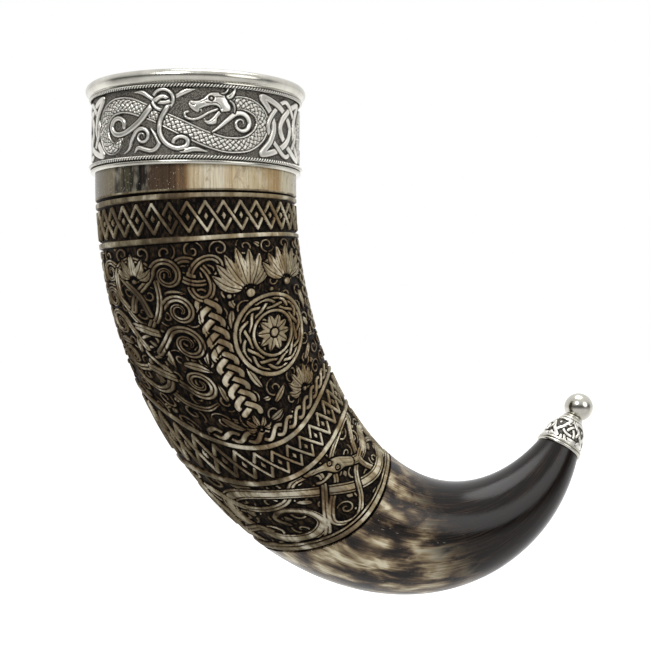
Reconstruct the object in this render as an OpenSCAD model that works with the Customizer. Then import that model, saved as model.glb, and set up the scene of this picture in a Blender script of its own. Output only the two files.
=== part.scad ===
// A drinking horn: a curved, hollow horn with a metal collar round its mouth
// and a metal cap with a ball finial on its tip. Millimetres, +Z up.
// The origin is at the centre of the mouth, level with the top of the inner sleeve.
// The horn bends towards +X, and its tip leans back towards +Y.

/* [Horn] */
// Outside diameter of the horn just below the collar
horn_mouth_d = 73.2; // [60:0.1:90]
// Outside diameter of the horn where the tip cap starts
horn_tip_d = 16.4; // [14:0.1:24]
// Length of the centre line from the start of the bend to the tip cap
horn_run = 234; // [200:0.5:280]
// Straight stretch of horn between the collar and the start of the bend
straight_run = 3; // [1:0.1:10]
// How long the horn stays full: 1 is a plain cone, 2 narrows late
taper_power = 1.97; // [1.6:0.01:2.6]

/* [Bend] */
// Steady bend of the centre line over its whole length, in degrees
bow_angle = 72; // [45:0.5:95]
// Extra turn of the hook near the tip, in degrees
hook_angle = 93.5; // [60:0.5:120]
// Distance of the hook's middle along the centre line
hook_at = 184.5; // [150:0.5:220]
// Length over which the hook gathers its turn
hook_spread = 30; // [22:0.5:45]
// Lean of the tip out of the plane of the bend, in degrees
lean_angle = 16; // [0:1:25]

/* [Hollow] */
// Wall of the horn at the mouth
mouth_wall = 3.4; // [2.5:0.1:6]
// Wall of the horn at the deep end of the hollow
deep_wall = 12; // [8:0.5:16]
// Length of the hollow along the bent centre line
hollow_run = 150; // [110:1:165]
// Length of the rounded bottom of the hollow
hollow_nose = 18; // [10:0.5:30]

/* [Carving] */
// Depth of the carved ground below the horn's surface
carve_depth = 1.15; // [0.6:0.05:1.8]
// Width of the raised borders between the carved bands
border_w = 2; // [1.4:0.1:3]
// Slope at the foot of a raised border
border_slope = 0.3; // [0.2:0.05:0.6]
// Distance of the first border from the start of the bend
upper_band_at = 6.5; // [4:0.1:12]
// Height of the upper lozenge band, from border to border
upper_band_h = 15; // [11:0.5:18]
// Lozenges round each lozenge band
lozenges = 18; // [14:1:20]
// Distance of the knot panel's lower border at the horn's sides
panel_end = 70.5; // [60:0.5:80]
// How much lower that border dips at the front and the back
panel_dip = 27; // [15:0.5:30]
// Distance of the lower lozenge band's lower border at the horn's sides
lower_band_end = 94; // [88:0.5:100]
// How much lower that border dips at the front and the back
lower_band_dip = 15; // [8:0.5:18]
// Distance of the beast band's lower border at the horn's sides
beast_band_end = 129.5; // [124:0.5:140]
// How much lower that border dips at the front and the back
beast_band_dip = 8.6; // [4:0.2:12]

/* [Collar] */
// Height of the collar below the top of the inner sleeve
collar_h = 30.6; // [26:0.1:45]
// How far the rolled lip stands out from the band
lip_proud = 1.95; // [1.2:0.05:4]
// Thickness of the lip's round bead
lip_bead_d = 4.6; // [3.6:0.1:5.4]
// Height of the lip's crown above the inner sleeve
crown_h = 1.6; // [1.2:0.1:2.2]
// How far the lip's inner edge lies below its crown
edge_drop = 0.3; // [0.1:0.05:0.4]
// Rounding of the lip's inner edge
edge_r = 0.5; // [0.3:0.05:0.7]
// Depth of the lip's skirt below the top of the inner sleeve
skirt_h = 3.3; // [3:0.1:6]
// How far the fillet under the lip stands out from the band
fillet_proud = 0.4; // [0.2:0.05:0.8]
// Height of that fillet
fillet_h = 0.4; // [0.2:0.05:0.7]
// Width of the straps in the knots between the band's serpents
knot_w = 2.4; // [1.6:0.1:3]
// Wall of the embossed band
band_wall = 1.5; // [1.2:0.05:2.5]
// Thickness of the twisted border wires
wire_d = 1.3; // [0.9:0.1:1.8]
// How far the border wires stand out from the band
wire_proud = 0.75; // [0.5:0.05:0.9]
// Height of the bead at the foot of the collar
foot_h = 1.75; // [1.2:0.05:3]
// How far the foot bead stands out from the band
foot_proud = 0.15; // [0.05:0.05:1]
// Depth of the inner sleeve
sleeve_h = 22; // [12:0.5:28]
// Wall of the inner sleeve
sleeve_wall = 0.8; // [0.5:0.1:1.5]

/* [Tip cap] */
// Height of the tip cap along its axis
cap_h = 13.2; // [12:0.1:18]
// Outside diameter of the cap at its top
cap_top_d = 8.4; // [8:0.1:10]
// How late the cap narrows: 1 is a plain cone, 2 has a full shoulder
cap_fullness = 2.2; // [1.4:0.1:3]
// Wall of the cap at its skirt
cap_wall = 0.9; // [0.7:0.05:1.2]
// Step from the cap's skirt out to its body
cap_step = 0.2; // [0.1:0.05:0.6]
// How far the horn's spigot is turned down to enter the cap
spigot_cut = 1.5; // [1.3:0.05:2]
// Length of the spigot inside the cap
spigot_h = 9; // [6:0.1:10]
// How much the spigot's radius narrows to its end
spigot_taper = 2.1; // [1.6:0.1:2.8]
// Height of the bead round the cap's skirt
base_bead_h = 1.4; // [1:0.1:2]
// How far the base bead stands out from the horn
base_bead_proud = 0.7; // [0.5:0.05:1.2]
// Thickness of the wire above the base bead
base_wire_d = 0.8; // [0.5:0.1:1.2]
// Thickness of the ring under the finial
neck_ring_h = 1.1; // [0.8:0.1:1.6]
// Diameter of the ring under the finial
neck_ring_d = 8; // [7:0.1:9.6]
// Diameter of the ball finial
ball_d = 11; // [8:0.1:14]
// Diameter of the finial's flat foot
ball_foot_d = 5.6; // [4.6:0.1:6.4]
// Diameter of the threaded stud, taken plain
stud_d = 3; // [2.5:0.1:3.6]
// Depth of the stud in the horn
stud_in_horn = 6; // [4:0.5:12]
// Depth of the stud in the ball
stud_in_ball = 5; // [3:0.5:6]

/* [Fits] */
// Thickness of the bedding compound between horn and metal
bedding = 0.35; // [0.2:0.05:0.6]
// How far the horn is turned down where the collar is seated
seat_cut = 0.4; // [0.2:0.05:0.8]
// Clearance between seated pieces
fit_gap = 0.04; // [0.02:0.01:0.08]

/* [Hidden] */
$fn = 96;

horn_colour = "#8f7f63";
metal_colour = "#b9b6ae";
bedding_colour = "#3a2f27";

// Smoothness: corners round a ring of the horn, rows along its walls, points on an arc
ring_sides = 4 * lozenges;
panel_steps = 14;
beast_steps = 7;
tail_steps = 13;
hollow_steps = 11;
nose_steps = 4;
path_step = 1;
arc_steps = 10;

// How far a cut runs past the face that it opens
overcut = 1;

// Radii that the mouth pieces share, from the horn's wall outwards and inwards
mouth_r = horn_mouth_d / 2;
seat_r = mouth_r - seat_cut;
hollow_r = mouth_r - mouth_wall;
band_in_r = seat_r + bedding;
band_out_r = band_in_r + band_wall;
lip_r = band_out_r + lip_proud;
wire_r = band_out_r + wire_proud - wire_d / 2;
ground_r = wire_r - wire_d / 2 - fit_gap;
sleeve_out_r = hollow_r - bedding;
bore_r = sleeve_out_r - sleeve_wall;

// Heights of the mouth pieces, from the lip down to the bend
horn_top_z = -bedding;
upper_wire_z = -skirt_h - fit_gap - wire_d / 2;
foot_top_z = foot_h - collar_h;
lower_wire_z = foot_top_z + fit_gap + wire_d / 2;
seat_bottom_z = -collar_h - fit_gap;
bend_z = -collar_h - straight_run;

// Radii and heights of the tip pieces, along the cap's own axis
tip_r = horn_tip_d / 2;
spigot_r = tip_r - spigot_cut;
spigot_end_r = spigot_r - spigot_taper;
skirt_r = spigot_r + bedding + cap_wall;
skirt_ring_r = skirt_r + fit_gap;
base_wire_z = base_bead_h + fit_gap + base_wire_d / 2;
body_z = base_wire_z + base_wire_d / 2 + fit_gap;
neck_z = cap_h + fit_gap;
ball_foot_z = neck_z + neck_ring_h + fit_gap;
ball_r = ball_d / 2;
ball_z = ball_foot_z + sqrt(ball_r * ball_r - ball_foot_d * ball_foot_d / 4);
stud_hole_r = stud_d / 2 + fit_gap;

// The bend: heading from straight down, and lean out of plane, at a distance along the centre line
function settle(s) = 1 / (1 + exp((hook_at - s) / hook_spread));
function along(s) = min(max(s, 0), horn_run);
function heading(s) = bow_angle * along(s) / horn_run + hook_angle * (settle(along(s)) - settle(0));
function lean(s) = lean_angle * pow(along(s) / horn_run, 2);
function forward(s) = [sin(heading(s)) * cos(lean(s)), sin(lean(s)), -cos(heading(s)) * cos(lean(s))];
function inward(s) = [cos(heading(s)), 0, sin(heading(s))];

path_count = ceil(horn_run / path_step);
path_pace = horn_run / path_count;
path = [for (i = 0, p = [0, 0, bend_z]; i <= path_count;
    p = p + path_pace * forward((i + 0.5) * path_pace), i = i + 1) p];

function between(list, t) =
  let (i = min(floor(t), len(list) - 2)) list[i] + (t - i) * (list[i + 1] - list[i]);
function centre(s) =
  s <= 0 ? [0, 0, bend_z - s]
  : s >= horn_run ? path[path_count] + (s - horn_run) * forward(horn_run)
  : between(path, s / path_pace);

// Outside of the horn, and the hollow inside it
function horn_r(s) = mouth_r - (mouth_r - tip_r) * pow(along(s) / horn_run, taper_power);
function wall_at(s) = mouth_wall + (deep_wall - mouth_wall) * pow(along(s) / hollow_run, 2);
function hollow_at(s) = horn_r(s) - wall_at(s);

// A point of the horn's skin: a distance along the centre line, an angle from the front and a radius
function on_horn(s, a, r) =
  centre(s) + r * (cos(a) * cross(forward(s), inward(s)) + sin(a) * inward(s));

// The skin over rows of points from pole to pole. In each cell the edge runs between the higher corners.
function skin_faces(lifts) = let (n = ring_sides, rows = len(lifts), last = rows * n + 1) concat(
  [for (k = [0:n - 1]) [0, 1 + k, 1 + (k + 1) % n]],
  [for (j = [0:rows - 2], k = [0:n - 1])
    let (m = (k + 1) % n, a = 1 + j * n + k, b = 1 + j * n + m)
    each lifts[j][k] + lifts[j + 1][m] > lifts[j][m] + lifts[j + 1][k]
      ? [[a, a + n, b + n], [a, b + n, b]] : [[a, a + n, b], [b, a + n, b + n]]],
  [for (k = [0:n - 1]) [last, last - n + (k + 1) % n, last - n + k]]);

// Inside rings are let out to their corners, so that a round piece inside them stays clear
corner = 1 / cos(180 / ring_sides);
mouth_s = bend_z - horn_top_z;
seat_s = bend_z - seat_bottom_z;
hollow_s = hollow_run - hollow_nose;
spigot_s = horn_run + spigot_h;
stud_s = spigot_s - stud_in_horn;

// Borders of the carving at an angle from the front
upper_top = function (a) upper_band_at;
upper_foot = function (a) upper_band_at + upper_band_h;
panel_foot = function (a) panel_end + panel_dip * pow(cos(a), 2);
lower_foot = function (a) lower_band_end + lower_band_dip * pow(cos(a), 2);
beast_foot = function (a) beast_band_end + beast_band_dip * pow(cos(a), 2);

// Main forms of the carving, in millimetres across and down from the front of a band, twice round the horn
panel_top = upper_band_at + upper_band_h + border_w / 2 + border_slope;
panel_r = horn_r((panel_top + panel_end) / 2);
beast_r = horn_r((lower_band_end + beast_band_end) / 2);
panel_lines = [
  [[1.6, 20], [1.6, 62], 4.4], [[48.8, 0], [48.8, 48], 4.2], [[-52, 0], [-52, 48], 4.2],
  [[56.4, 0], [56.4, 48], 4.2], [[-23, 32], [-23, 52], 4.6], [[17, 18], [17, 4], 6],
  [[34, 18], [34, 4], 6], [[-33, 60], [-13, 60], 2]];
panel_discs = [
  [1, 11, 8], [22, 38.6, 15.6], [-23, 12, 8], [-23, 22, 8], [-37, 35.4, 6], [-9, 35.4, 6], [-37.8, 23.4, 5.4],
  [-8.2, 23.4, 5.4], [-36, 10.6, 5.8], [-10, 10.6, 5.8], [-35.4, 50.2, 5.6], [-10.6, 50.2, 5.6]];
beast_path = [[11, 6], [22, 12], [28, 9.6], [34, 9], [38.4, 13.4], [37, 20.4], [31, 25], [22, 24.6],
  [13, 19.4], [4, 11.2], [-6, 5.6], [-17.5, 5.2], [-25, 10], [-26.4, 18], [-21, 24.4], [-12, 25.6],
  [-5.2, 21.6], [-8, 14]];
beast_half = 2.4;
beast_depth = 30;

function from_line(p, a, b) = norm(p - a - (b - a) * min(max((p - a) * (b - a) / ((b - a) * (b - a)), 0), 1));
function across(a, r) = (a > 90 && a < 270 ? a - 180 : a >= 270 ? a - 360 : a) * PI / 180 * r;
function panel_lift(p) =
  max([for (line = panel_lines) from_line(p, line[0], line[1]) < line[2] ? 1 : 0]) > 0
  || min([for (disc = panel_discs) norm(p - [disc[0], disc[1]]) - disc[2]]) < 0 ? 1 : 0;
function beast_lift(p) =
  min([for (i = [1:len(beast_path) - 1]) from_line(p, beast_path[i - 1], beast_path[i])]) < beast_half
  ? 1 : 0;

// Rows of the horn's outside: a distance and a lift, from ground 0 to surface 1, at each angle
function share(from, to, t) = function (a) from(a) + (to(a) - from(a)) * t;
function past(border, way) = function (a) border(a) + way;
function level(lift) = function (a) lift;
ground_way = border_w / 2 + border_slope;
function border_rows(border) = [
  [past(border, -ground_way), level(0)], [past(border, -border_w / 2), level(1)],
  [past(border, border_w / 2), level(1)], [past(border, ground_way), level(0)]];
lozenge_rows = [0.16, 0.5, 0.84];
function lozenge_band(top, foot) = [for (i = [0:2])
  [share(top, foot, lozenge_rows[i]), function (a) (round(a * ring_sides / 360) + i + 1) % 2]];
function panel_row(t) = let (at = share(upper_foot, panel_foot, t))
  [at, function (a) panel_lift([across(a, panel_r), at(a) - panel_top])];
function beast_row(t) = [share(lower_foot, beast_foot, t),
  function (a) beast_lift([across(a, beast_r), t * beast_depth])];
tip_end = function (a) horn_run;
carved_rows = concat(
  [[level(0), level(1)], [past(upper_top, border_w / 2), level(1)], [past(upper_top, ground_way), level(0)]],
  lozenge_band(upper_top, upper_foot),
  border_rows(upper_foot),
  [for (i = [1:panel_steps]) panel_row(i / (panel_steps + 1))],
  border_rows(panel_foot),
  lozenge_band(panel_foot, lower_foot),
  border_rows(lower_foot),
  [for (i = [1:beast_steps]) beast_row(i / (beast_steps + 1))],
  [[past(beast_foot, -ground_way), level(0)], [past(beast_foot, -border_w / 2), level(1)]],
  [for (i = [0:tail_steps]) [share(past(beast_foot, border_w / 2), tip_end, i / tail_steps), level(1)]]);

// All rows of the skin, from the hollow round the mouth to the tip: a distance, a radius and a lift
function plain_row(s, r) = [level(s), level(r), level(0)];
nose_rows = [for (i = [1:nose_steps]) let (a = 90 - 90 * i / nose_steps)
  plain_row(hollow_s + hollow_nose * sin(a), hollow_at(hollow_s) * cos(a) * corner)];
hollow_rows = [for (i = [1:hollow_steps]) let (s = hollow_s * (1 - i / hollow_steps))
  plain_row(s, hollow_at(s) * corner)];
mouth_rows = [plain_row(mouth_s, hollow_r * corner), plain_row(mouth_s, seat_r), plain_row(seat_s, seat_r),
  plain_row(seat_s, mouth_r)];
outer_rows = [for (row = carved_rows)
  [row[0], function (a) horn_r(row[0](a)) - carve_depth * (1 - row[1](a)), row[1]]];
tip_rows = [plain_row(horn_run, spigot_r), plain_row(spigot_s, spigot_end_r),
  plain_row(spigot_s, stud_hole_r * corner), plain_row(stud_s, stud_hole_r * corner)];
horn_rows = concat(nose_rows, hollow_rows, mouth_rows, outer_rows, tip_rows);
ring_angles = [for (k = [0:ring_sides - 1]) 360 * k / ring_sides];

// Points of an arc in a profile, from one angle to another
function arc(x, y, r, from, to) =
  [for (i = [0:arc_steps]) let (a = from + (to - from) * i / arc_steps) [x + r * cos(a), y + r * sin(a)]];

module turned(profile) {
  rotate_extrude() polygon(profile);
}

// Puts a piece on the tip: its origin at the cap's mouth and +Z out of the tip
module at_tip() {
  translate(centre(horn_run))
    rotate([-lean(horn_run), 180 - heading(horn_run), 0])
      children();
}

// Round wire in a ring, centred on the given height
module ring_wire(ring_r, height, thickness) {
  translate([0, 0, height])
    rotate_extrude() translate([ring_r, 0]) circle(d = thickness, $fn = 32);
}

module horn_shell() {
  points = concat(
    [centre(hollow_run)],
    [for (row = horn_rows, a = ring_angles) on_horn(row[0](a), a, row[1](a))],
    [centre(stud_s)]);
  lifts = [for (row = horn_rows) [for (a = ring_angles) row[2](a)]];
  color(horn_colour)
    polyhedron(points, skin_faces(lifts), convexity = 10);
}

// One channel of bedding compound, outside the horn, over its edge and inside it
module mouth_bedding() {
  color(bedding_colour)
    turned([
      [sleeve_out_r + fit_gap, -sleeve_h], [hollow_r - fit_gap, -sleeve_h],
      [hollow_r - fit_gap, horn_top_z + fit_gap], [seat_r + fit_gap, horn_top_z + fit_gap],
      [seat_r + fit_gap, -collar_h], [band_in_r - fit_gap, -collar_h],
      [band_in_r - fit_gap, -fit_gap], [sleeve_out_r + fit_gap, -fit_gap]]);
}

module mouth_sleeve() {
  color(metal_colour)
    difference() {
      translate([0, 0, -sleeve_h]) cylinder(r = sleeve_out_r, h = sleeve_h);
      translate([0, 0, -sleeve_h - overcut]) cylinder(r = bore_r, h = sleeve_h + 2 * overcut);
    }
}

// Rolled lip: a rounded inner edge, a round bead outside, a cove below it and a flat fillet on the band
module rim_lip() {
  bead_r = lip_bead_d / 2;
  edge_z = crown_h - edge_drop - edge_r;
  inner_r = bore_r + fit_gap;
  fillet_r = band_out_r + fillet_proud;
  crown_turn = 95;
  cove_turn = -50;
  color(metal_colour)
    turned(concat(
      [[inner_r, fit_gap]],
      arc(inner_r + edge_r, edge_z, edge_r, 180, crown_turn),
      arc(lip_r - bead_r, crown_h - bead_r, bead_r, crown_turn, cove_turn),
      [[fillet_r, fillet_h - skirt_h], [fillet_r, -skirt_h], [band_in_r, -skirt_h], [band_in_r, fit_gap]]));
}

// Embossed band: a plain ground that carries the wires, and raised serpents with knots between them.
// Points are across and down from the front of the frieze, and a serpent's have its half width beside them.
serpent_path = [[-23.6, 17.4, 1.5], [-26, 19.3, 2.1], [-29.2, 18.7, 2.6], [-31.7, 15.6, 2.8],
  [-32.4, 11.3, 2.9], [-30.6, 7.5, 3], [-27, 5.3, 3], [-22.5, 4.9, 2.9], [-18.6, 5.6, 2.8],
  [-10.6, 8.9, 2.4], [-1.9, 13.2, 2.6], [5, 16.6, 2.7], [10, 18.4, 2.8], [14.4, 19.2, 2.8],
  [20.5, 18.4, 2.8], [25, 15.2, 2.8], [26.8, 11.1, 2.7], [25.6, 7.4, 2.6], [22.1, 5.2, 2.5],
  [17, 4.6, 2.7], [11, 4.2, 2.4], [3, 5, 1.4]];
serpent_from = -45.3;
serpent_to = 38.7;
knot_path = [[-12.3, 1.8], [-5, 3.6], [2, 7.4], [5.2, 11.4], [2, 15.4], [-5, 19.2], [-12.3, 21]];
knot_turns = [-78.3, 56, 168.9];
knot_step = 0.2;
frieze_z = upper_wire_z - wire_d / 2;
ribbon_h = band_out_r - (band_in_r + ground_r) / 2;

// A ribbon along such points, from inside the band's wall out to a radius
function way_at(line, i) =
  let (d = line[min(i + 1, len(line) - 1)] - line[max(i - 1, 0)]) [d[0], d[1]] / norm([d[0], d[1]]);
function on_band(p, turn, stretch, r) =
  let (a = turn + p[0] * stretch / band_out_r * 180 / PI) [r * sin(a), -r * cos(a), frieze_z - p[1]];
module ribbon(line, turn, stretch, top_r) {
  root_r = top_r - ribbon_h;
  last = len(line) - 1;
  points = [for (i = [0:last])
    let (d = way_at(line, i), p = [line[i][0], line[i][1]], side = [-d[1], d[0]] * line[i][2])
    each [on_band(p - side, turn, stretch, root_r), on_band(p + side, turn, stretch, root_r),
      on_band(p + side, turn, stretch, top_r), on_band(p - side, turn, stretch, top_r)]];
  faces = concat(
    [[0, 2, 1], [0, 3, 2]],
    [for (i = [0:last - 1], k = [0:3]) let (a = 4 * i + k, b = 4 * i + (k + 1) % 4)
      each [[a, b, a + 4], [b, b + 4, a + 4]]],
    [[4 * last, 4 * last + 1, 4 * last + 2], [4 * last, 4 * last + 2, 4 * last + 3]]);
  polyhedron(points, faces);
}

module collar_band() {
  band_top_z = -skirt_h - fit_gap;
  band_bottom_z = foot_top_z + fit_gap;
  knots = len(knot_turns);
  color(metal_colour) {
    turned([[band_in_r, band_top_z], [band_in_r, band_bottom_z],
      [ground_r, band_bottom_z], [ground_r, band_top_z]]);
    for (i = [0:knots - 1]) {
      span = (i + 1 < knots ? knot_turns[i + 1] : knot_turns[0] + 360) - knot_turns[i];
      zero = -serpent_from / (serpent_to - serpent_from);
      stretch = span * PI / 180 * band_out_r / (serpent_to - serpent_from);
      ribbon(serpent_path, knot_turns[i] + span * zero, stretch, band_out_r);
      for (side = [-1, 1])
        ribbon([for (p = knot_path) [side * p[0], p[1], knot_w / 2]], knot_turns[i], 1,
          band_out_r + min(side, 0) * knot_step);
    }
  }
}

module upper_wire() {
  color(metal_colour) ring_wire(wire_r, upper_wire_z, wire_d);
}

module lower_wire() {
  color(metal_colour) ring_wire(wire_r, lower_wire_z, wire_d);
}

module foot_bead() {
  bead_r = foot_h / 2;
  bead_x = band_out_r + foot_proud - bead_r;
  color(metal_colour)
    turned(concat(
      [[band_in_r, -collar_h], [band_in_r, foot_top_z]],
      arc(bead_x, foot_top_z - bead_r, bead_r, 90, -90)));
}

// Thin cup of bedding compound between the spigot and the cap
module cap_bedding() {
  color(bedding_colour)
    at_tip() turned([
      [spigot_r + fit_gap, fit_gap], [spigot_r + bedding - fit_gap, fit_gap],
      [spigot_end_r + bedding - fit_gap, spigot_h + bedding - fit_gap],
      [stud_hole_r, spigot_h + bedding - fit_gap], [stud_hole_r, spigot_h + fit_gap],
      [spigot_end_r + fit_gap, spigot_h + fit_gap]]);
}

// Cast cap: a straight skirt inside the base rings, then a full, rounded taper to its top
module tip_cap() {
  body_r = skirt_r + cap_step;
  top_r = cap_top_d / 2;
  taper = [for (i = [0:arc_steps]) let (t = i / arc_steps)
    [body_r - (body_r - top_r) * pow(t, cap_fullness), body_z + (cap_h - body_z) * t]];
  color(metal_colour)
    at_tip() turned(concat(
      [[spigot_r + bedding, fit_gap], [skirt_r, fit_gap], [skirt_r, body_z]],
      taper,
      [[stud_hole_r, cap_h], [stud_hole_r, spigot_h + bedding],
       [spigot_end_r + bedding, spigot_h + bedding]]));
}

module base_bead() {
  bead_r = (base_bead_h - fit_gap) / 2;
  color(metal_colour)
    at_tip() turned(concat(
      [[skirt_ring_r, fit_gap], [skirt_ring_r, base_bead_h]],
      arc(tip_r + base_bead_proud - bead_r, fit_gap + bead_r, bead_r, 90, -90)));
}

module base_wire() {
  color(metal_colour)
    at_tip() ring_wire(skirt_ring_r + base_wire_d / 2, base_wire_z, base_wire_d);
}

module neck_ring() {
  bead_r = neck_ring_h / 2;
  color(metal_colour)
    at_tip() turned(concat(
      [[stud_hole_r, neck_z], [stud_hole_r, neck_z + neck_ring_h]],
      arc(neck_ring_d / 2 - bead_r, neck_z + bead_r, bead_r, 90, -90)));
}

// Polished ball, flat at its foot and bored for the stud
module ball_finial() {
  color(metal_colour)
    at_tip() difference() {
      translate([0, 0, ball_z]) sphere(r = ball_r);
      translate([0, 0, ball_foot_z - ball_d]) cylinder(r = ball_d, h = ball_d);
      translate([0, 0, ball_foot_z - overcut]) cylinder(r = stud_hole_r, h = stud_in_ball + overcut);
    }
}

module finial_stud() {
  start_z = spigot_h - stud_in_horn + fit_gap;
  color(metal_colour)
    at_tip() translate([0, 0, start_z])
      cylinder(d = stud_d, h = ball_foot_z + stud_in_ball - fit_gap - start_z);
}

horn_shell();
mouth_bedding();
mouth_sleeve();
rim_lip();
collar_band();
upper_wire();
lower_wire();
foot_bead();
cap_bedding();
tip_cap();
base_bead();
base_wire();
neck_ring();
ball_finial();
finial_stud();
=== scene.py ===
# A carved drinking horn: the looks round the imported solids
# Boards and profiles are in millimetres, and the meshes in metres
import math

import bmesh
import bpy
import numpy as np
from mathutils import Matrix, Vector


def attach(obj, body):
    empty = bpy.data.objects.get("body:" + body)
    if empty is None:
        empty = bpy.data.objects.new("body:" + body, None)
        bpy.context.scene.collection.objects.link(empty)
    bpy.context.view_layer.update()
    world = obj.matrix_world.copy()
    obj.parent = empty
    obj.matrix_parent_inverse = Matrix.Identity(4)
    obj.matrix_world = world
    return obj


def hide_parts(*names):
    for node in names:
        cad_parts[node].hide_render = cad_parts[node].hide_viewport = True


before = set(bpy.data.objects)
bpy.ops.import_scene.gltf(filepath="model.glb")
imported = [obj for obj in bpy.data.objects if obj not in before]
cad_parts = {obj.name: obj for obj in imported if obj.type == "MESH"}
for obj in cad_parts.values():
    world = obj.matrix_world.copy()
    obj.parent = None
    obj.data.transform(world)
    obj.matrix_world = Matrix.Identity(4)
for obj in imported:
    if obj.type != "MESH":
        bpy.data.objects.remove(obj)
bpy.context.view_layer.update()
mm = 0.001
print("frame loaded")


# Relief boards: a flat map that wraps across, on which straps are woven
farAway = 1e9
tiny = 1e-6
lowest = -9.0
weaving = dict(tie=0.05, leastApart=5.0, ease=2.2, levelAfter=2.2, lap=0.7, least=0.05, lift=0.9,
               besideDrop=0.06)


class Board:
    def __init__(self, width, height, step, gap):
        self.width = width
        self.step = step
        self.gap = gap  # dark line beside what lies on top
        self.cols = round(width / step)
        self.rows = round(height / step)
        self.order = np.full((self.rows, self.cols), lowest, np.float32)
        self.relief = np.zeros((self.rows, self.cols), np.float32)
        self.straps = []


def smooth(x):
    x = np.clip(x, 0, 1)
    return x * x * (3 - 2 * x)


# Distance run at each point of a line
def runOf(line):
    return np.concatenate([[0], np.cumsum(np.hypot(*np.diff(line[:, :2], axis=0).T))])


# Points at radii and turns about a centre
def polar(x, y, r, a):
    return np.stack([x + r * np.cos(a), y + r * np.sin(a)], -1)


# A whole outline from its right half, which starts and ends on an upright axis
def mirrored(half):
    return half + [(-u, v) for u, v in half[-2:0:-1]]


def evenly(points, spacing, closed=False):
    if closed:
        points = np.vstack([points, points[:1]])
    run = runOf(points)
    marks = np.linspace(0, run[-1], max(3, int(run[-1] / spacing)) + 1)
    return np.stack([np.interp(marks, run, column) for column in points.T], 1)


# A smooth line through a few chosen points: a third column, the half width, follows along
def curve(points, closed=False, spacing=0.5):
    p = np.array(points, float)
    if closed:
        p = np.vstack([p[-1:], p, p[:2]])
    else:
        p = np.vstack([2 * p[0] - p[1], p, 2 * p[-1] - p[-2]])
    t = np.linspace(0, 1, 12, endpoint=False)[:, None]
    spans = []
    for a, b, c, d in zip(p[:-3], p[1:-2], p[2:-1], p[3:]):
        bend = (2 * a - 5 * b + 4 * c - d) * t ** 2 + (3 * b - a - 3 * c + d) * t ** 3
        spans.append(b + 0.5 * ((c - a) * t + bend))
    if not closed:
        spans.append(p[-2:-1])
    return evenly(np.vstack(spans), spacing, closed)


def circle(x, y, r, count=48):
    return polar(x, y, r, np.linspace(0, 2 * math.pi, count, endpoint=False))


# A line that winds in to a spiral's eye from a point on its rim
def spiral(x, y, r, start, turns, inner=0.2):
    part = np.linspace(0, 1, int(24 * abs(turns)))
    radius = r * (1 - (1 - inner) * part)
    return polar(x, y, radius, start + 2 * math.pi * turns * part)


# Gives a line its half widths: at the start, at its fullest, and how much of that is lost to the end
def tapered(line, start, full, loss):
    part = np.linspace(0, 1, len(line))
    return np.column_stack([line, full - (full - start) * (1 - part) ** 6 - loss * part ** 3])


# Three loops of one line: the trefoil knot's plan
def triquetra(x, y, r, turn):
    a = np.linspace(0, 2 * math.pi, 120, endpoint=False)
    u = np.sin(a) + 2 * np.sin(2 * a)
    v = np.cos(a) - 2 * np.cos(2 * a)
    c, s = math.cos(turn), math.sin(turn)
    return np.stack([x + r / 3 * (u * c - v * s), y + r / 3 * (u * s + v * c)], 1)


# A leaf's outline and its vein, between two points and bowed to one side
def leaf(x0, y0, x1, y1, width, bend=0.0):
    t = np.linspace(0, 1, 18)
    along = np.array([x1 - x0, y1 - y0])
    across = np.array([-along[1], along[0]]) / math.hypot(*along)
    vein = np.array([x0, y0]) + t[:, None] * along + (bend * np.sin(math.pi * t))[:, None] * across
    fat = (width / 2 * np.sin(math.pi * t ** 0.8) ** 0.8)[:, None] * across
    return np.vstack([vein + fat, (vein - fat)[-2:0:-1]]), vein


# The middles of a window's cells, across and down
def middlesOf(board, low, cols, rows):
    return [(np.arange(count) + first + 0.5) * board.step for count, first in zip((cols, rows), low)]


# The nearest point of a line for each cell round it: distance, side and place along the line
def nearField(board, line, reach, squareStart=False, squareEnd=False):
    low = np.floor((line[:, :2].min(0) - reach) / board.step).astype(int)
    high = np.ceil((line[:, :2].max(0) + reach) / board.step).astype(int)
    cols, rows = high - low + 1
    near = np.full((rows, cols), farAway, np.float32)
    side = np.zeros((rows, cols), np.float32)
    place = np.zeros((rows, cols), np.float32)
    xs, ys = middlesOf(board, low, cols, rows)
    for k in range(len(line) - 1):
        p, q = line[k, :2], line[k + 1, :2]
        d = q - p
        c0, c1 = np.searchsorted(xs, (min(p[0], q[0]) - reach, max(p[0], q[0]) + reach))
        r0, r1 = np.searchsorted(ys, (min(p[1], q[1]) - reach, max(p[1], q[1]) + reach))
        here = (slice(r0, r1), slice(c0, c1))
        gx = xs[None, c0:c1] - p[0]
        gy = ys[r0:r1, None] - p[1]
        held = np.clip((gx * d[0] + gy * d[1]) / (d @ d + tiny ** 2), 0, 1)
        away = (gx - held * d[0]) ** 2 + (gy - held * d[1]) ** 2
        closer = away < near[here]
        np.copyto(near[here], away, where=closer, casting="same_kind")
        np.copyto(side[here], gx * d[1] - gy * d[0], where=closer, casting="same_kind")
        np.copyto(place[here], k + held, where=closer, casting="same_kind")
    if squareStart:
        near[place <= 0] = farAway
    if squareEnd:
        near[place >= len(line) - 1] = farAway
    return low, np.sqrt(near), np.sign(side), place


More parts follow.
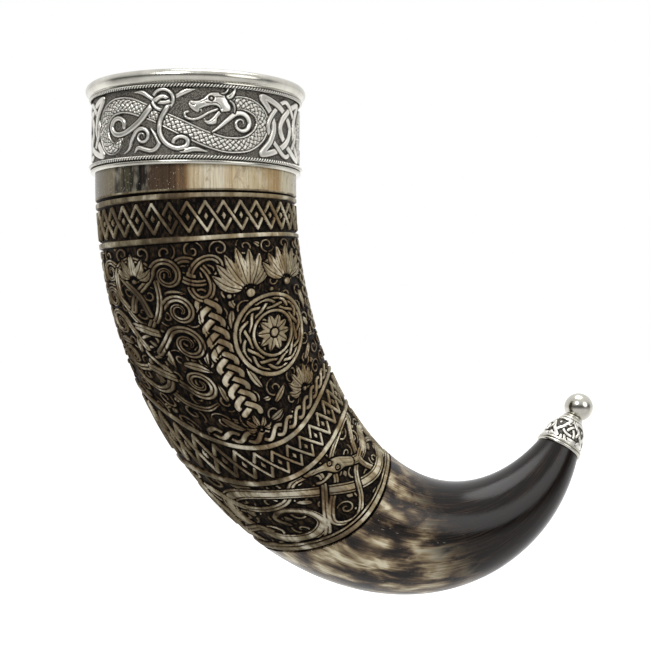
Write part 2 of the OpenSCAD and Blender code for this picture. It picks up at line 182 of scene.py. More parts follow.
# The board's own cells under a window, one pair of slices for each time that it wraps
def windows(board, low, shape):
    rows, cols = shape
    r0, r1 = max(0, -low[1]), min(rows, board.rows - low[1])
    if r1 <= r0:
        return
    for turn in range(low[0] // board.cols, (low[0] + cols - 1) // board.cols + 1):
        c0 = max(0, turn * board.cols - low[0])
        c1 = min(cols, (turn + 1) * board.cols - low[0])
        b0 = c0 + low[0] - turn * board.cols
        yield (slice(r0 + low[1], r1 + low[1]), slice(b0, b0 + c1 - c0)), (slice(r0, r1), slice(c0, c1))


# Lays a window of heights on the board where it comes on top
def layDown(board, low, cover, level, height):
    for here, there in windows(board, low, cover.shape):
        ahead = level[there] - board.order[here]
        taller = (ahead > -weaving["tie"]) & (height[there] > board.relief[here])
        wins = cover[there] & ((ahead > weaving["tie"]) | taller)
        board.order[here][wins] = level[there][wins]
        board.relief[here][wins] = height[there][wins]


# Cross-sections of straps: t is -1 to 1 across, a runs along, and half is the half width
section = dict(crown=0.12, lowTop=0.66, grooveDepth=0.75, grooveWidth=0.32, grooveAt=0.58, grooveCrown=0.08)
cord = dict(middle=0.82, swell=0.18, lay=0.9, pitch=1.5, crown=0.2)


def plainStrap(t, a, half):
    return 1 - section["crown"] * t * t


def lowStrap(t, a, half):
    return section["lowTop"] - section["crown"] * t * t


def groove(off):
    return section["grooveDepth"] * np.exp(-(off / section["grooveWidth"]) ** 2)


def groovedStrap(t, a, half):
    return 1 - groove((np.abs(t) - section["grooveAt"]) * half) - section["grooveCrown"] * t * t


def splitStrap(t, a, half):
    return 1 - groove(t * half) - section["crown"] * t * t


def cordStrap(t, a, half):
    turn = 2 * math.pi * (a - t * half * cord["lay"]) / cord["pitch"]
    return cord["middle"] + cord["swell"] * np.sin(turn) - cord["crown"] * t * t


# A slanting plain weave between two raised rims
plait = dict(cell=2.0, slant=1.05, rim=0.73, top=0.9, crown=0.12, gapDepth=0.7, gapAt=0.5, gapSoft=0.3,
             rimCrown=0.4, gutter=0.3, gutterLow=0.15)


def plaitStrap(t, a, half):
    rim, low = plait["rim"], plait["gutterLow"]
    lean = plait["slant"] * t * half
    p = (a + lean) / plait["cell"]
    q = (a - lean) / plait["cell"]
    over = (np.floor(p) + np.floor(q)) % 2 == 0
    off = np.abs(np.where(over, p, q) % 1 - 0.5) * 2
    gap = smooth((off - plait["gapAt"]) / plait["gapSoft"])
    fill = plait["top"] - plait["crown"] * off ** 2 - plait["gapDepth"] * gap
    edge = np.abs(t)
    rims = 1 - plait["rimCrown"] * ((edge - (1 + rim) / 2) / (1 - rim) * 2) ** 2
    gutter = smooth(np.abs(edge - rim) * half / plait["gutter"] - low)
    return np.where(edge > rim, rims, fill) * (low + (1 - low) * gutter)


# A strap waits on the board until weave() has settled which one passes over
def strap(board, line, width=None, style=plainStrap, closed=False, base=1.0, edge=0.45, dip=0.4):
    line = np.asarray(line, float)
    if width:
        line = np.column_stack([line[:, :2], np.full(len(line), width / 2)])
    board.straps.append(dict(line=line, run=runOf(line), style=style, closed=closed, base=base, edge=edge,
                             dip=dip, ease=line[:, 2].max() + weaving["ease"], passes=[]))


def loopStrap(board, points, width, style=plainStrap, **settings):
    strap(board, curve(points, True), width, style, closed=True, **settings)


# Where two straps, or two stretches of one, cross: each strap's number and place along it
def crossings(board):
    found = []
    for i, one in enumerate(board.straps):
        p = one["line"][:-1, None, :2]
        r = np.diff(one["line"][:, :2], axis=0)[:, None]
        for j, two in enumerate(board.straps[i:], i):
            for shift in (-board.width, 0, board.width):
                if i == j and shift and (shift > 0 or one["closed"]):
                    continue
                q = two["line"][None, :-1, :2] + [shift, 0]
                if np.any(q.min(1) > p.max(0)) or np.any(q.max(1) < p.min(0)):
                    continue
                s = np.diff(two["line"][:, :2], axis=0)[None]
                w = q - p
                turn = r[..., 0] * s[..., 1] - r[..., 1] * s[..., 0]
                slanted = np.abs(turn) > tiny
                turn = np.where(slanted, turn, 1)
                f = (w[..., 0] * s[..., 1] - w[..., 1] * s[..., 0]) / turn
                g = (w[..., 0] * r[..., 1] - w[..., 1] * r[..., 0]) / turn
                for m, n in np.argwhere(slanted & (f >= 0) & (f < 1) & (g >= 0) & (g < 1)):
                    a = np.interp(m + f[m, n], np.arange(len(one["run"])), one["run"])
                    b = np.interp(n + g[m, n], np.arange(len(two["run"])), two["run"])
                    if i == j and not shift:
                        apart = abs(a - b)
                        if one["closed"]:
                            apart = min(apart, one["run"][-1] - apart)
                        # a sharp corner isn't a crossing
                        if n <= m or apart < weaving["leastApart"]:
                            continue
                    found.append((i, a, j, b))
    return found


# Over and under in turn along every strap
def settleWeave(board):
    passes = []
    for i, a, j, b in crossings(board):
        passes += [(i, a), (j, b)]
    linked = {k: [k ^ 1] for k in range(len(passes))}  # the two passes of a crossing are neighbours
    chains = []
    for i, item in enumerate(board.straps):
        chain = sorted((k for k in linked if passes[k][0] == i), key=lambda k: passes[k][1])
        chains.append(chain)
        for one, two in zip(chain, chain[1:] + (chain[:1] if item["closed"] else [])):
            linked[one].append(two)
            linked[two].append(one)
    level = {}
    for start in linked:
        queue = [] if start in level else [start]
        level.setdefault(start, 1.0)
        while queue:
            k = queue.pop(0)
            for other in linked[k]:
                if other not in level:
                    level[other] = -level[k]
                    queue.append(other)
    for item, chain in zip(board.straps, chains):
        item["passes"] = [(passes[k][1], level[k] if level[k] != level[k ^ 1] or k & 1 else -level[k])
                          for k in chain]


# Heights along a strap: over or under at each crossing, and level where none is near
def ladderOf(marks, heights, ease):
    steps = list(zip(marks, heights))
    far = weaving["levelAfter"] * ease
    ends = [marks[0] - 2 * far] + marks + [marks[-1] + 2 * far]
    for a, b in zip(ends, ends[1:]):
        if b - a > far:
            steps += [(a + ease, 0.5), (b - ease, 0.5)]
    return zip(*sorted(steps))


# Stamps every strap, one stretch about each crossing at a time
def weave(board):
    settleWeave(board)
    for item in board.straps:
        line, run, closed = item["line"], item["run"], item["closed"]
        total = run[-1]
        marks = [a for a, _ in item["passes"]]
        heights = [h for _, h in item["passes"]]
        count = len(marks)
        if closed:
            hop = np.append(np.round((line[-1, :2] - line[0, :2]) / board.width) * board.width, 0)
            line = np.vstack([line[:-1] - hop, line[:-1], line + hop])
            run = np.concatenate([run[:-1] - total, run[:-1], run + total])
            marks = [a + turn * total for turn in (-1, 0, 1) for a in marks]
            heights = heights * 3
        middles = [(a + b) / 2 for a, b in zip(marks, marks[1:])]
        if not count:
            cuts = [(0, total)]
        elif closed:
            cuts = [(middles[count - 1 + k], middles[count + k]) for k in range(count)]
        else:
            cuts = list(zip([0] + middles, middles + [total]))
        for start, end in cuts:
            squareStart = count > 0 and (closed or start > 0)
            squareEnd = count > 0 and (closed or end < total)
            start = start - weaving["lap"] * squareStart
            end = end + weaving["lap"] * squareEnd
            between = (run > start + weaving["least"]) & (run < end - weaving["least"])
            at = np.concatenate([[start], run[between], [end]])
            piece = np.stack([np.interp(at, run, column) for column in line.T], 1)
            over = np.full(len(at), 1.0)
            if count:
                over = np.sin(math.pi / 2 * np.interp(at, *ladderOf(marks, heights, item["ease"])))
            reach = piece[:, 2].max() + board.gap + 2 * board.step
            low, near, side, place = nearField(board, piece, reach, squareStart, squareEnd)
            index = np.arange(len(at))
            half = np.interp(place, index, piece[:, 2])
            rise = np.interp(place, index, over)
            t = np.clip(side * near / np.maximum(half, 0.01), -1, 1)
            height = item["style"](t, np.interp(place, index, at), half)
            height = height * smooth((half - near) / item["edge"])
            height = height * (1 - item["dip"] * (1 - rise) / 2)
            level = item["base"] + weaving["lift"] * rise - weaving["besideDrop"] * (near > half)
            layDown(board, low, near < half + board.gap, level, height)
    board.straps = []


# A filled shape inside a closed outline, rounded at its edge
def plate(board, outline, level, height=1.0, edge=0.4, crown=0.3, crownAt=1.5, gap=None):
    gap = board.gap if gap is None else gap
    loop = np.vstack([outline, outline[:1]])
    low, near, _, _ = nearField(board, loop, max(crownAt, gap) + 2 * board.step)
    rows, cols = near.shape
    xs, ys = middlesOf(board, low, cols, rows)
    inside = np.zeros((rows, cols), bool)
    for (x0, y0), (x1, y1) in zip(loop[:-1], loop[1:]):
        if y0 != y1:
            spans = (ys > min(y0, y1)) & (ys <= max(y0, y1))
            at = x0 + (ys - y0) * (x1 - x0) / (y1 - y0)
            inside ^= spans[:, None] & (xs[None, :] < at[:, None])
    deep = np.where(inside, np.minimum(near, crownAt), 0)
    shape = smooth(deep / edge) * (1 - crown + crown * np.sqrt(deep / crownAt)) * height
    layDown(board, low, inside | (near < gap), np.full(near.shape, level, np.float32), shape)


def curvedPlate(board, points, level, height, **settings):
    plate(board, curve(points, True), level, height, **settings)


def boss(board, x, y, r, height=1.0, level=3.0, gap=None):
    edge = min(0.5, r * 0.8)
    plate(board, circle(x, y, r, 24), level, height, edge, crown=0.35, crownAt=r, gap=gap)


# An engraved line, which takes a share of the height away
def score(board, line, width=0.4, depth=0.55):
    low, near, _, _ = nearField(board, np.asarray(line, float), width * 1.5)
    for here, there in windows(board, low, near.shape):
        board.relief[here] *= 1 - depth * np.exp(-(near[there] / (width / 2)) ** 2)


# Mean over a square about each cell, wrapped across
def blurred(image, size):
    padded = np.pad(image, ((size + 1, size), (0, 0)), mode="edge")
    total = np.cumsum(padded, axis=0)
    image = (total[2 * size + 1:] - total[:-2 * size - 1]) / (2 * size + 1)
    padded = np.pad(image, ((0, 0), (size + 1, size)), mode="wrap")
    total = np.cumsum(padded, axis=1)
    return (total[:, 2 * size + 1:] - total[:, :-2 * size - 1]) / (2 * size + 1)


# Dark stain on the ground, with painted shade that makes it fuller beside tall straps and thick in narrow
# cuts; thin on the tops
staining = dict(near=0.5, wide=0.8, openShare=0.72, crowded=0.35, cut=0.4, cutShare=0.85)


def stainOf(board, low=0.05, high=0.5):
    reaches = [max(1, round(staining[key] / board.step)) for key in ("near", "wide")]
    near, wide = [blurred(board.relief, reach) for reach in reaches]
    ground = smooth((high - board.relief) / (high - low))
    share = staining["openShare"]
    beside = share + (1 - share) * smooth(wide / staining["crowded"])
    cut = smooth((near - board.relief) / staining["cut"])
    return np.clip(np.maximum(ground * beside, staining["cutShare"] * cut), 0, 1).astype(np.float32)


# Value of a map at a place on its board, between the nearest four cells
def sample(board, image, u, v):
    x = u / board.step - 0.5
    y = np.clip(v / board.step - 0.5, 0, board.rows - 1.001)
    x0, y0 = np.floor(x).astype(int), np.floor(y).astype(int)
    fx, fy = x - x0, y - y0
    x0, x1 = x0 % board.cols, (x0 + 1) % board.cols
    upper = image[y0, x0] * (1 - fx) + image[y0, x1] * fx
    lower = image[y0 + 1, x0] * (1 - fx) + image[y0 + 1, x1] * fx
    return upper * (1 - fy) + lower * fy


# Collar frieze: a plaited serpent, laced by its own tail, and a tall knot between one serpent and the next
def drawSerpent(board):
    body = [(-22.8, 14.6, 0.8), (-23.6, 17.4, 1.5), (-26.0, 19.3, 2.1), (-29.2, 18.7, 2.6),
            (-31.7, 15.6, 2.8), (-32.4, 11.3, 2.9), (-30.6, 7.5, 3.0), (-27.0, 5.3, 3.0), (-22.5, 4.9, 2.9),
            (-18.6, 5.6, 2.8), (-14.6, 7.2, 2.6), (-10.6, 8.9, 2.4), (-7.9, 10.2, 2.4), (-1.9, 13.2, 2.6),
            (5.0, 16.6, 2.7), (10.0, 18.4, 2.8), (14.4, 19.2, 2.8), (20.5, 18.4, 2.8), (25.0, 15.2, 2.8),
            (26.8, 11.1, 2.7), (25.6, 7.4, 2.6), (22.1, 5.2, 2.5), (18.4, 4.6, 2.4), (15.8, 5.0, 2.3),
            (13.4, 5.4, 2.0)]
    strap(board, curve(body), style=plaitStrap, base=0.0, edge=0.25, dip=0.15)
    tail = [(-21.8, 12.6, 0.8), (-22.0, 10.6, 0.9), (-24.2, 9.2, 0.9), (-26.8, 9.8, 0.95),
            (-27.8, 12.2, 1.0), (-26.2, 14.4, 1.0), (-23.0, 14.8, 1.05), (-19.4, 13.6, 1.1),
            (-15.6, 11.0, 1.1), (-12.2, 7.2, 1.05), (-9.8, 4.2, 0.9), (-7.3, 2.9, 0.8), (-5.3, 4.4, 0.8),
            (-6.0, 7.0, 0.9), (-7.6, 9.8, 0.9), (-8.4, 12.6, 0.9), (-8.2, 15.6, 0.9), (-6.2, 18.8, 0.9),
            (-2.8, 20.6, 0.9), (0.4, 19.8, 0.85), (0.8, 17.6, 0.8), (-1.4, 16.6, 0.75), (-3.6, 17.8, 0.75),
            (-3.6, 20.2, 0.8), (-0.6, 21.5, 0.9), (3.0, 20.9, 1.0), (7.2, 21.7, 0.3)]
    strap(board, curve(tail), base=2.5)
    wing = [(8.8, 15.0), (10.9, 13.4), (13.4, 11.1)]
    wing = np.vstack([wing, spiral(18.6, 11.6, r=3.9, start=-2.5, turns=1.4)])
    strap(board, tapered(curve(wing), start=0.35, full=1.0, loss=0.7), base=1.5)
    # ring above the body, and a bow of two leaves that runs through it
    loopStrap(board, circle(-7.3, 4.0, r=3.5, count=24), width=1.4, base=2.6)
    bow = [(-17.4, 1.0, 0.3), (-14.4, 1.3, 0.9), (-11.8, 3.0, 0.8), (-9.0, 4.8, 0.75), (-5.4, 4.8, 0.75),
           (-2.6, 3.0, 0.8), (0.4, 1.3, 1.0), (3.2, 0.7, 0.3)]
    strap(board, curve(bow), base=2.6)
    # curled tendrils at the foot
    curl = [(-21.8, 21.7), (-19.6, 20.2), (-18.6, 17.4)]
    curl = np.vstack([curl, spiral(-14.6, 16.2, r=3.0, start=-2.8, turns=1.5)])
    strap(board, tapered(curve(curl), start=0.3, full=0.85, loss=0.6), base=1.6)
    loop = [(-17.4, 21.7, 0.3), (-16.0, 20.0, 0.8), (-13.2, 20.8, 0.85), (-10.6, 21.2, 0.85),
            (-8.6, 19.0, 0.8), (-9.8, 16.0, 0.7), (-11.4, 13.6, 0.3)]
    strap(board, curve(loop), base=1.6)


def drawSerpentHead(board):
    skull = [(14.8, 7.6), (12.9, 8.1), (11.6, 8.2), (11.2, 7.0), (10.5, 6.3), (9.0, 6.0), (6.9, 6.5),
             (5.2, 7.3), (4.3, 8.6), (3.1, 8.2), (2.0, 7.4), (1.2, 6.4), (1.0, 5.2), (1.8, 4.3), (3.2, 4.4),
             (4.7, 4.2), (6.0, 3.4), (7.1, 2.3), (8.3, 1.5), (10.0, 1.3), (12.1, 1.4), (13.4, 2.5),
             (14.1, 4.6), (15.0, 6.0)]
    curvedPlate(board, skull, level=4.0, height=1.05, edge=0.5, crownAt=1.8)
    jaw = [(12.6, 7.4), (11.7, 8.7), (10.5, 10.2), (10.2, 12.0), (8.5, 12.6), (6.9, 12.3), (6.0, 11.0),
           (7.5, 11.1), (9.2, 9.6), (10.6, 7.8), (11.4, 6.8)]
    curvedPlate(board, jaw, level=3.9, height=0.95, crown=0.2, crownAt=1.2)
    ear = [(13.2, 2.6), (14.8, 1.5), (15.8, 0.2), (16.2, -1.4), (16.8, 0.2), (16.4, 1.9), (15.4, 3.3),
           (13.9, 3.7)]
    curvedPlate(board, ear, level=4.3, height=1.1, crown=0.2, crownAt=1.0)
    crest = [(11.2, 1.7), (12.8, 1.2), (13.5, 0.2), (13.2, -0.9), (12.6, -1.7), (13.8, -1.1), (14.4, 0.1),
             (13.9, 1.3), (12.6, 2.2)]
    curvedPlate(board, crest, level=4.4, height=1.1, crown=0.2, crownAt=1.0)
    tongue = [(10.4, 7.2), (7.5, 8.5), (5.9, 9.6), (4.2, 10.5), (2.4, 10.8), (0.8, 10.4), (-0.1, 9.5),
              (0.1, 8.5), (1.0, 8.2)]
    strap(board, curve(tongue), width=1.0, style=cordStrap, base=5.0, edge=0.35)
    nape = [(14.4, 3.8, 0.3), (15.8, 5.0, 0.45), (16.3, 6.6, 0.45), (16.2, 8.0, 0.3)]
    strap(board, curve(nape), base=3.0)
    weave(board)
    # eye, cut lines and fangs
    boss(board, 8.5, 3.6, r=0.72, height=1.2, level=6.0, gap=0.3)
    for line, width, depth in (([(9.4, 3.2), (10.8, 3.0), (12.4, 2.9)], 0.4, 0.7),
                               ([(7.5, 3.9), (6.4, 4.4), (5.0, 4.9)], 0.3, 0.5),
                               ([(6.7, 5.1), (8.4, 5.2), (9.9, 5.0), (11.2, 5.8), (11.9, 7.2)], 0.4, 0.65),
                               ([(1.8, 5.4), (2.2, 5.7), (2.9, 5.9)], 0.55, 0.8),
                               ([(14.2, 2.9), (15.4, 1.7), (16.2, 0.3)], 0.4, 0.6),
                               ([(7.4, 11.8), (8.8, 11.2), (9.9, 10.0), (11.0, 8.4)], 0.3, 0.5)):
        score(board, curve(line), width, depth)
    for fang in ([(4.7, 7.4), (5.5, 7.0), (5.3, 8.9)], [(6.1, 11.0), (6.9, 11.0), (5.9, 9.8)]):
        plate(board, np.array(fang), level=5.5, edge=0.3, crown=0.1, crownAt=0.5, gap=0.15)


# Two pointed crescents laced through an upright hoop
def drawTallKnot(board, x):
    crescent = [(-12.2, 1.5), (-5.0, 3.4), (0.8, 7.0), (3.4, 11.4), (0.8, 15.8), (-5.0, 19.4), (-12.2, 21.3),
                (-8.4, 16.6), (-6.6, 11.4), (-8.4, 6.2)]
    for sign in (-1, 1):
        loopStrap(board, [(x + sign * u, v) for u, v in crescent], width=2.4, base=1.6)
    hoop = mirrored([(0, 1.7), (6.4, 6.0), (9.4, 11.4), (6.4, 16.8), (0, 21.1)])
    loopStrap(board, [(x + u, v) for u, v in hoop], width=1.9, base=1.6)


# Two zigzag straps that cross to a row of lozenges, with a small lozenge in each
def drawLozenges(board, height, width, repeats):
    period = board.width / repeats
    margin = 0.16
    top, foot = height * margin, height * (1 - margin)
    for phase in (0.0, 0.5):
        corners = [((k / 2 + phase) * period, (top, foot)[k % 2]) for k in range(2 * repeats + 1)]
        strap(board, evenly(np.array(corners), 0.3), width, closed=True, edge=0.35, dip=0.3)
    weave(board)
    small = np.array([(0, -1.8), (0.95, 0), (0, 1.8), (-0.95, 0)])
    for k in range(2 * repeats):
        plate(board, small + [k / 2 * period, height / 2], level=0.5, height=0.95, crownAt=1.0)


# A palmette: petals that fan out from one foot
fan = dict(sideLoss=0.35, foot=0.16, bend=2.2, overlap=0.02, boss=0.1)


def drawFan(board, x, y, reach, turn, spread, petals, width, level):
    for k in range(petals):
        part = k / (petals - 1) - 0.5
        a = turn + spread * part - math.pi / 2
        long = reach * (1 - fan["sideLoss"] * abs(part))
        foot = reach * fan["foot"]
        drawLeaf(board, *polar(x, y, foot, a), *polar(x, y, long, a), width, fan["bend"] * part,
                 level + fan["overlap"] * k, ribs=True)
    boss(board, x, y, reach * fan["boss"], height=1.1, level=level + 1)


def drawLeaf(board, x0, y0, x1, y1, width, bend=0.0, level=0.3, ribs=False):
    outline, vein = leaf(x0, y0, x1, y1, width, bend)
    plate(board, outline, level, crownAt=width / 2, gap=0.3)
    score(board, vein[1:-2], width=0.45, depth=0.6)
    if ribs:
        across = np.array([vein[0, 1] - vein[-1, 1], vein[-1, 0] - vein[0, 0]]) / math.hypot(x1 - x0, y1 - y0)
        for side in (-0.27, 0.27):
            score(board, vein[4:-5] + side * width * across, width=0.3, depth=0.4)


# A knotted tree: a plaited trunk between two cuffs, an arched crown, and branches and roots with volutes
trunk = dict(top=33.0, foot=51.0, strands=3, sway=3.5, pitch=13.5, cuffs=(33.0, 50.6))


def drawTree(board, x):
    along = np.linspace(trunk["top"], trunk["foot"], 40)
    for k in range(trunk["strands"]):
        turn = (along - trunk["top"]) / trunk["pitch"] + k / trunk["strands"]
        sway = trunk["sway"] * np.sin(2 * math.pi * turn)
        strap(board, np.stack([x + sway, along], 1), width=2.7, style=groovedStrap)
    arch = mirrored([(0, 4.6), (7.4, 8.8), (9.0, 18.0), (5.6, 27.4), (0, 31.4)])
    loopStrap(board, [(x + u, v) for u, v in arch], width=2.5, style=splitStrap)
    branches = (([(2.4, 41.4), (6.2, 36.2)], (14.0, 35.4, 6.0, -2.5, 1.5)),
                ([(1.0, 33.4), (4.4, 27.6), (8.2, 23.2)], (14.8, 23.4, 5.0, -2.5, 1.5)),
                ([(-3.4, 26.0), (-1.0, 19.6), (4.0, 14.6), (7.0, 11.2)], (13.0, 10.6, 5.4, -2.75, 1.5)),
                ([(2.2, 47.4), (5.2, 51.4)], (12.4, 50.2, 5.2, 2.35, -1.5)),
                ([(-2.6, 51.6), (-0.4, 56.6), (4.4, 60.6), (10.6, 60.6), (15.4, 57.6)], None))
    for sign in (-1, 1):
        for stem, curl in branches:
            line = np.array(stem)
            if curl:
                line = np.vstack([line, spiral(*curl)])
            line = curve(line * [sign, 1] + [x, 0])
            strap(board, tapered(line, start=1.4, full=1.45, loss=0.75), style=splitStrap)
    weave(board)
    for v in trunk["cuffs"]:
        cuff = np.array([(-5.4, -1.5), (0, -1.9), (5.4, -1.5), (5.4, 1.5), (0, 1.9), (-5.4, 1.5)]) + [x, v]
        plate(board, cuff, level=5.0, height=1.1, crownAt=1.6)
        score(board, cuff[[0, 1, 2]] + [0, 1.5], width=0.45, depth=0.5)
    leaves = ((5.4, 37.4, 6.6, 46.0, 3.4, 0.6), (9.4, 43.2, 19.0, 45.8, 3.4, -0.8),
              (21.4, 30.2, 22.4, 43.0, 3.8, -0.8), (20.8, 29.0, 22.6, 19.6, 3.0, -0.4),
              (20.0, 16.6, 21.8, 4.6, 3.6, 0.6), (10.4, 17.4, 18.6, 17.2, 2.6, -0.3))
    for u0, v0, u1, v1, width, bend in leaves:
        for sign in (-1, 1):
            drawLeaf(board, x + sign * u0, v0, x + sign * u1, v1, width, sign * bend)
    drawFan(board, x, 13.6, reach=11.5, turn=0.0, spread=1.9, petals=5, width=3.6, level=3.0)


# A wheel: plain rings round a ring plait, and a rosette about a boss
wheel = dict(ring=1.9, innerAt=0.56, innerRing=1.5, plaitAt=0.78, swing=0.125, lobes=11, turns=3, strand=1.5,
             petals=10, petalEnd=0.5, petalStart=0.1, petalWidth=2.25, boss=0.12)


def drawWheel(board, x, y, r):
    for radius, width in ((r, wheel["ring"]), (r * wheel["innerAt"], wheel["innerRing"])):
        loopStrap(board, circle(x, y, radius, 60), width, base=0.5)
    a = np.linspace(0, 2 * math.pi * wheel["turns"], 400, endpoint=False)
    around = r * wheel["plaitAt"] + r * wheel["swing"] * np.cos(a * wheel["lobes"] / wheel["turns"])
    loopStrap(board, polar(x, y, around, a), wheel["strand"], base=0.5, edge=0.4)
    weave(board)
    for k in range(wheel["petals"]):
        a = 2 * math.pi * (k + 0.5) / wheel["petals"]
        start, end = polar(x, y, r * wheel["petalStart"], a), polar(x, y, r * wheel["petalEnd"], a)
        drawLeaf(board, *start, *end, r * wheel["petalWidth"] / wheel["petals"], level=3.0)
    boss(board, x, y, r * wheel["boss"], height=1.15, level=4.0)


# Strands that swing about an upright line
def drawBraid(board, x, v0, v1, swing, pitch, width, strands, style=plainStrap):
    v = np.linspace(v0, v1, int((v1 - v0) / 0.5))
    for k in range(strands):
        u = x + swing * np.sin(2 * math.pi * ((v - v0) / pitch + k / strands))
        strap(board, np.stack([u, v], 1), width, style, base=0.5)


# A two-strand twist that follows the panel's lower border
def drawFootTwist(board, start, end, rise, swing, pitch, width):
    u = np.linspace(start, end, int((end - start) / 0.5))
    for sign in (-1, 1):
        sway = sign * swing * np.sin(2 * math.pi * (u - start) / pitch)
        strap(board, np.stack([u, carving["panelHigh"] - rise + sway], 1), width, base=0.4)


# Small scrolls, every other one with a leaf, that fill what the main forms leave open
scroll = dict(rowStep=0.86, firstRow=0.3, turns=1.3, turnAcross=2.2, turnDown=1.3, r=0.4, half=0.075,
              reach=0.56, leafTurn=2.6, leafSwing=0.5, leafStart=0.6, leafEnd=1.25, leafWidth=0.24)


def drawScrolls(board, height, spacing):
    across = round(board.width / spacing)
    pitch = board.width / across
    reach = spacing * scroll["reach"]
    for row in range(int(height / (spacing * scroll["rowStep"])) + 1):
        y = spacing * (scroll["firstRow"] + scroll["rowStep"] * row)
        for k in range(across):
            x = (k + 0.5 * (row % 2)) * pitch
            side = 1 if (k + row) % 2 else -1
            start = scroll["turnAcross"] * k + scroll["turnDown"] * row
            line = spiral(x, y, spacing * scroll["r"], start, side * scroll["turns"], inner=0.15)
            line = tapered(line, start=0.35, full=spacing * scroll["half"], loss=0.2)
            strap(board, line, style=lowStrap, base=-4.0)
            weave(board)
            a = start + side * scroll["leafTurn"]
            if k % 2:
                drawLeaf(board, *polar(x, y, scroll["leafStart"] * reach, a),
                         *polar(x, y, scroll["leafEnd"] * reach, a + scroll["leafSwing"]),
                         spacing * scroll["leafWidth"], 0.3 * side, -3.5)


def drawPanel(board):
    drawScrolls(board, carving["panelHigh"], spacing=9.0)
    for x in (48.8, -52.0):
        drawBraid(board, x, v0=-1.0, v1=50.0, swing=3.2, pitch=13.0, width=2.6, strands=2, style=groovedStrap)
    drawBraid(board, x=1.6, v0=20.4, v1=62.0, swing=3.4, pitch=14.0, width=2.4, strands=3)
    loopStrap(board, triquetra(1.0, 11.2, r=8.4, turn=math.pi), width=2.6, style=splitStrap, base=0.6)
    drawFootTwist(board, start=-16.0, end=43.0, rise=4.2, swing=1.9, pitch=10.4, width=1.9)
    weave(board)
    drawTree(board, x=-23.0)
    drawWheel(board, x=22.0, y=38.6, r=15.2)
    drawFan(board, 17.2, 20.6, reach=18.6, turn=-0.14, spread=1.6, petals=7, width=4.6, level=2.0)
    drawFan(board, 34.4, 20.6, reach=18.6, turn=0.14, spread=1.8, petals=7, width=4.6, level=2.5)
    for part in ((9.2, 24.6, 7.4, 33.6, 2.6, 0.4), (9.6, 55.0, 7.4, 44.0, 2.8, -0.5),
                 (41.0, 26.0, 42.6, 38.0, 3.0, -0.5), (-9.4, 63.0, -2.6, 68.2, 3.0, 0.6),
                 (11.0, 61.6, 18.4, 57.6, 2.6, 0.3), (39.0, 40.0, 41.6, 46.0, 2.6, 0.2),
                 (-3.4, 34.0, -4.8, 44.0, 2.4, 0.3), (6.4, 66.2, 13.4, 64.8, 2.6, 0.3),
                 (19.6, 60.4, 29.0, 59.0, 2.6, 0.4), (31.0, 57.6, 38.4, 52.0, 2.6, 0.4),
                 (-4.0, 57.0, -4.6, 49.0, 2.4, 0.3)):
        drawLeaf(board, *part)
    drawFan(board, 1.6, 68.4, reach=6.6, turn=0.0, spread=2.4, petals=5, width=2.3, level=0.3)
    drawFan(board, 25.0, 66.0, reach=10.4, turn=0.1, spread=2.3, petals=7, width=3.4, level=0.3)
    for x, y in ((-45.6, 4.0), (-0.6, 65.4), (-45.4, 24.0), (-23.0, 57.0), (25.8, 21.6), (9.4, 20.0)):
        boss(board, x, y, r=1.1, height=0.9, level=0.2)


# Lower band: a beast's neck, body and curl as one broad ribbon, laced by thin ones
beastHead = dict(x=17.4, y=11.4, turn=0.72, deep=0.88)


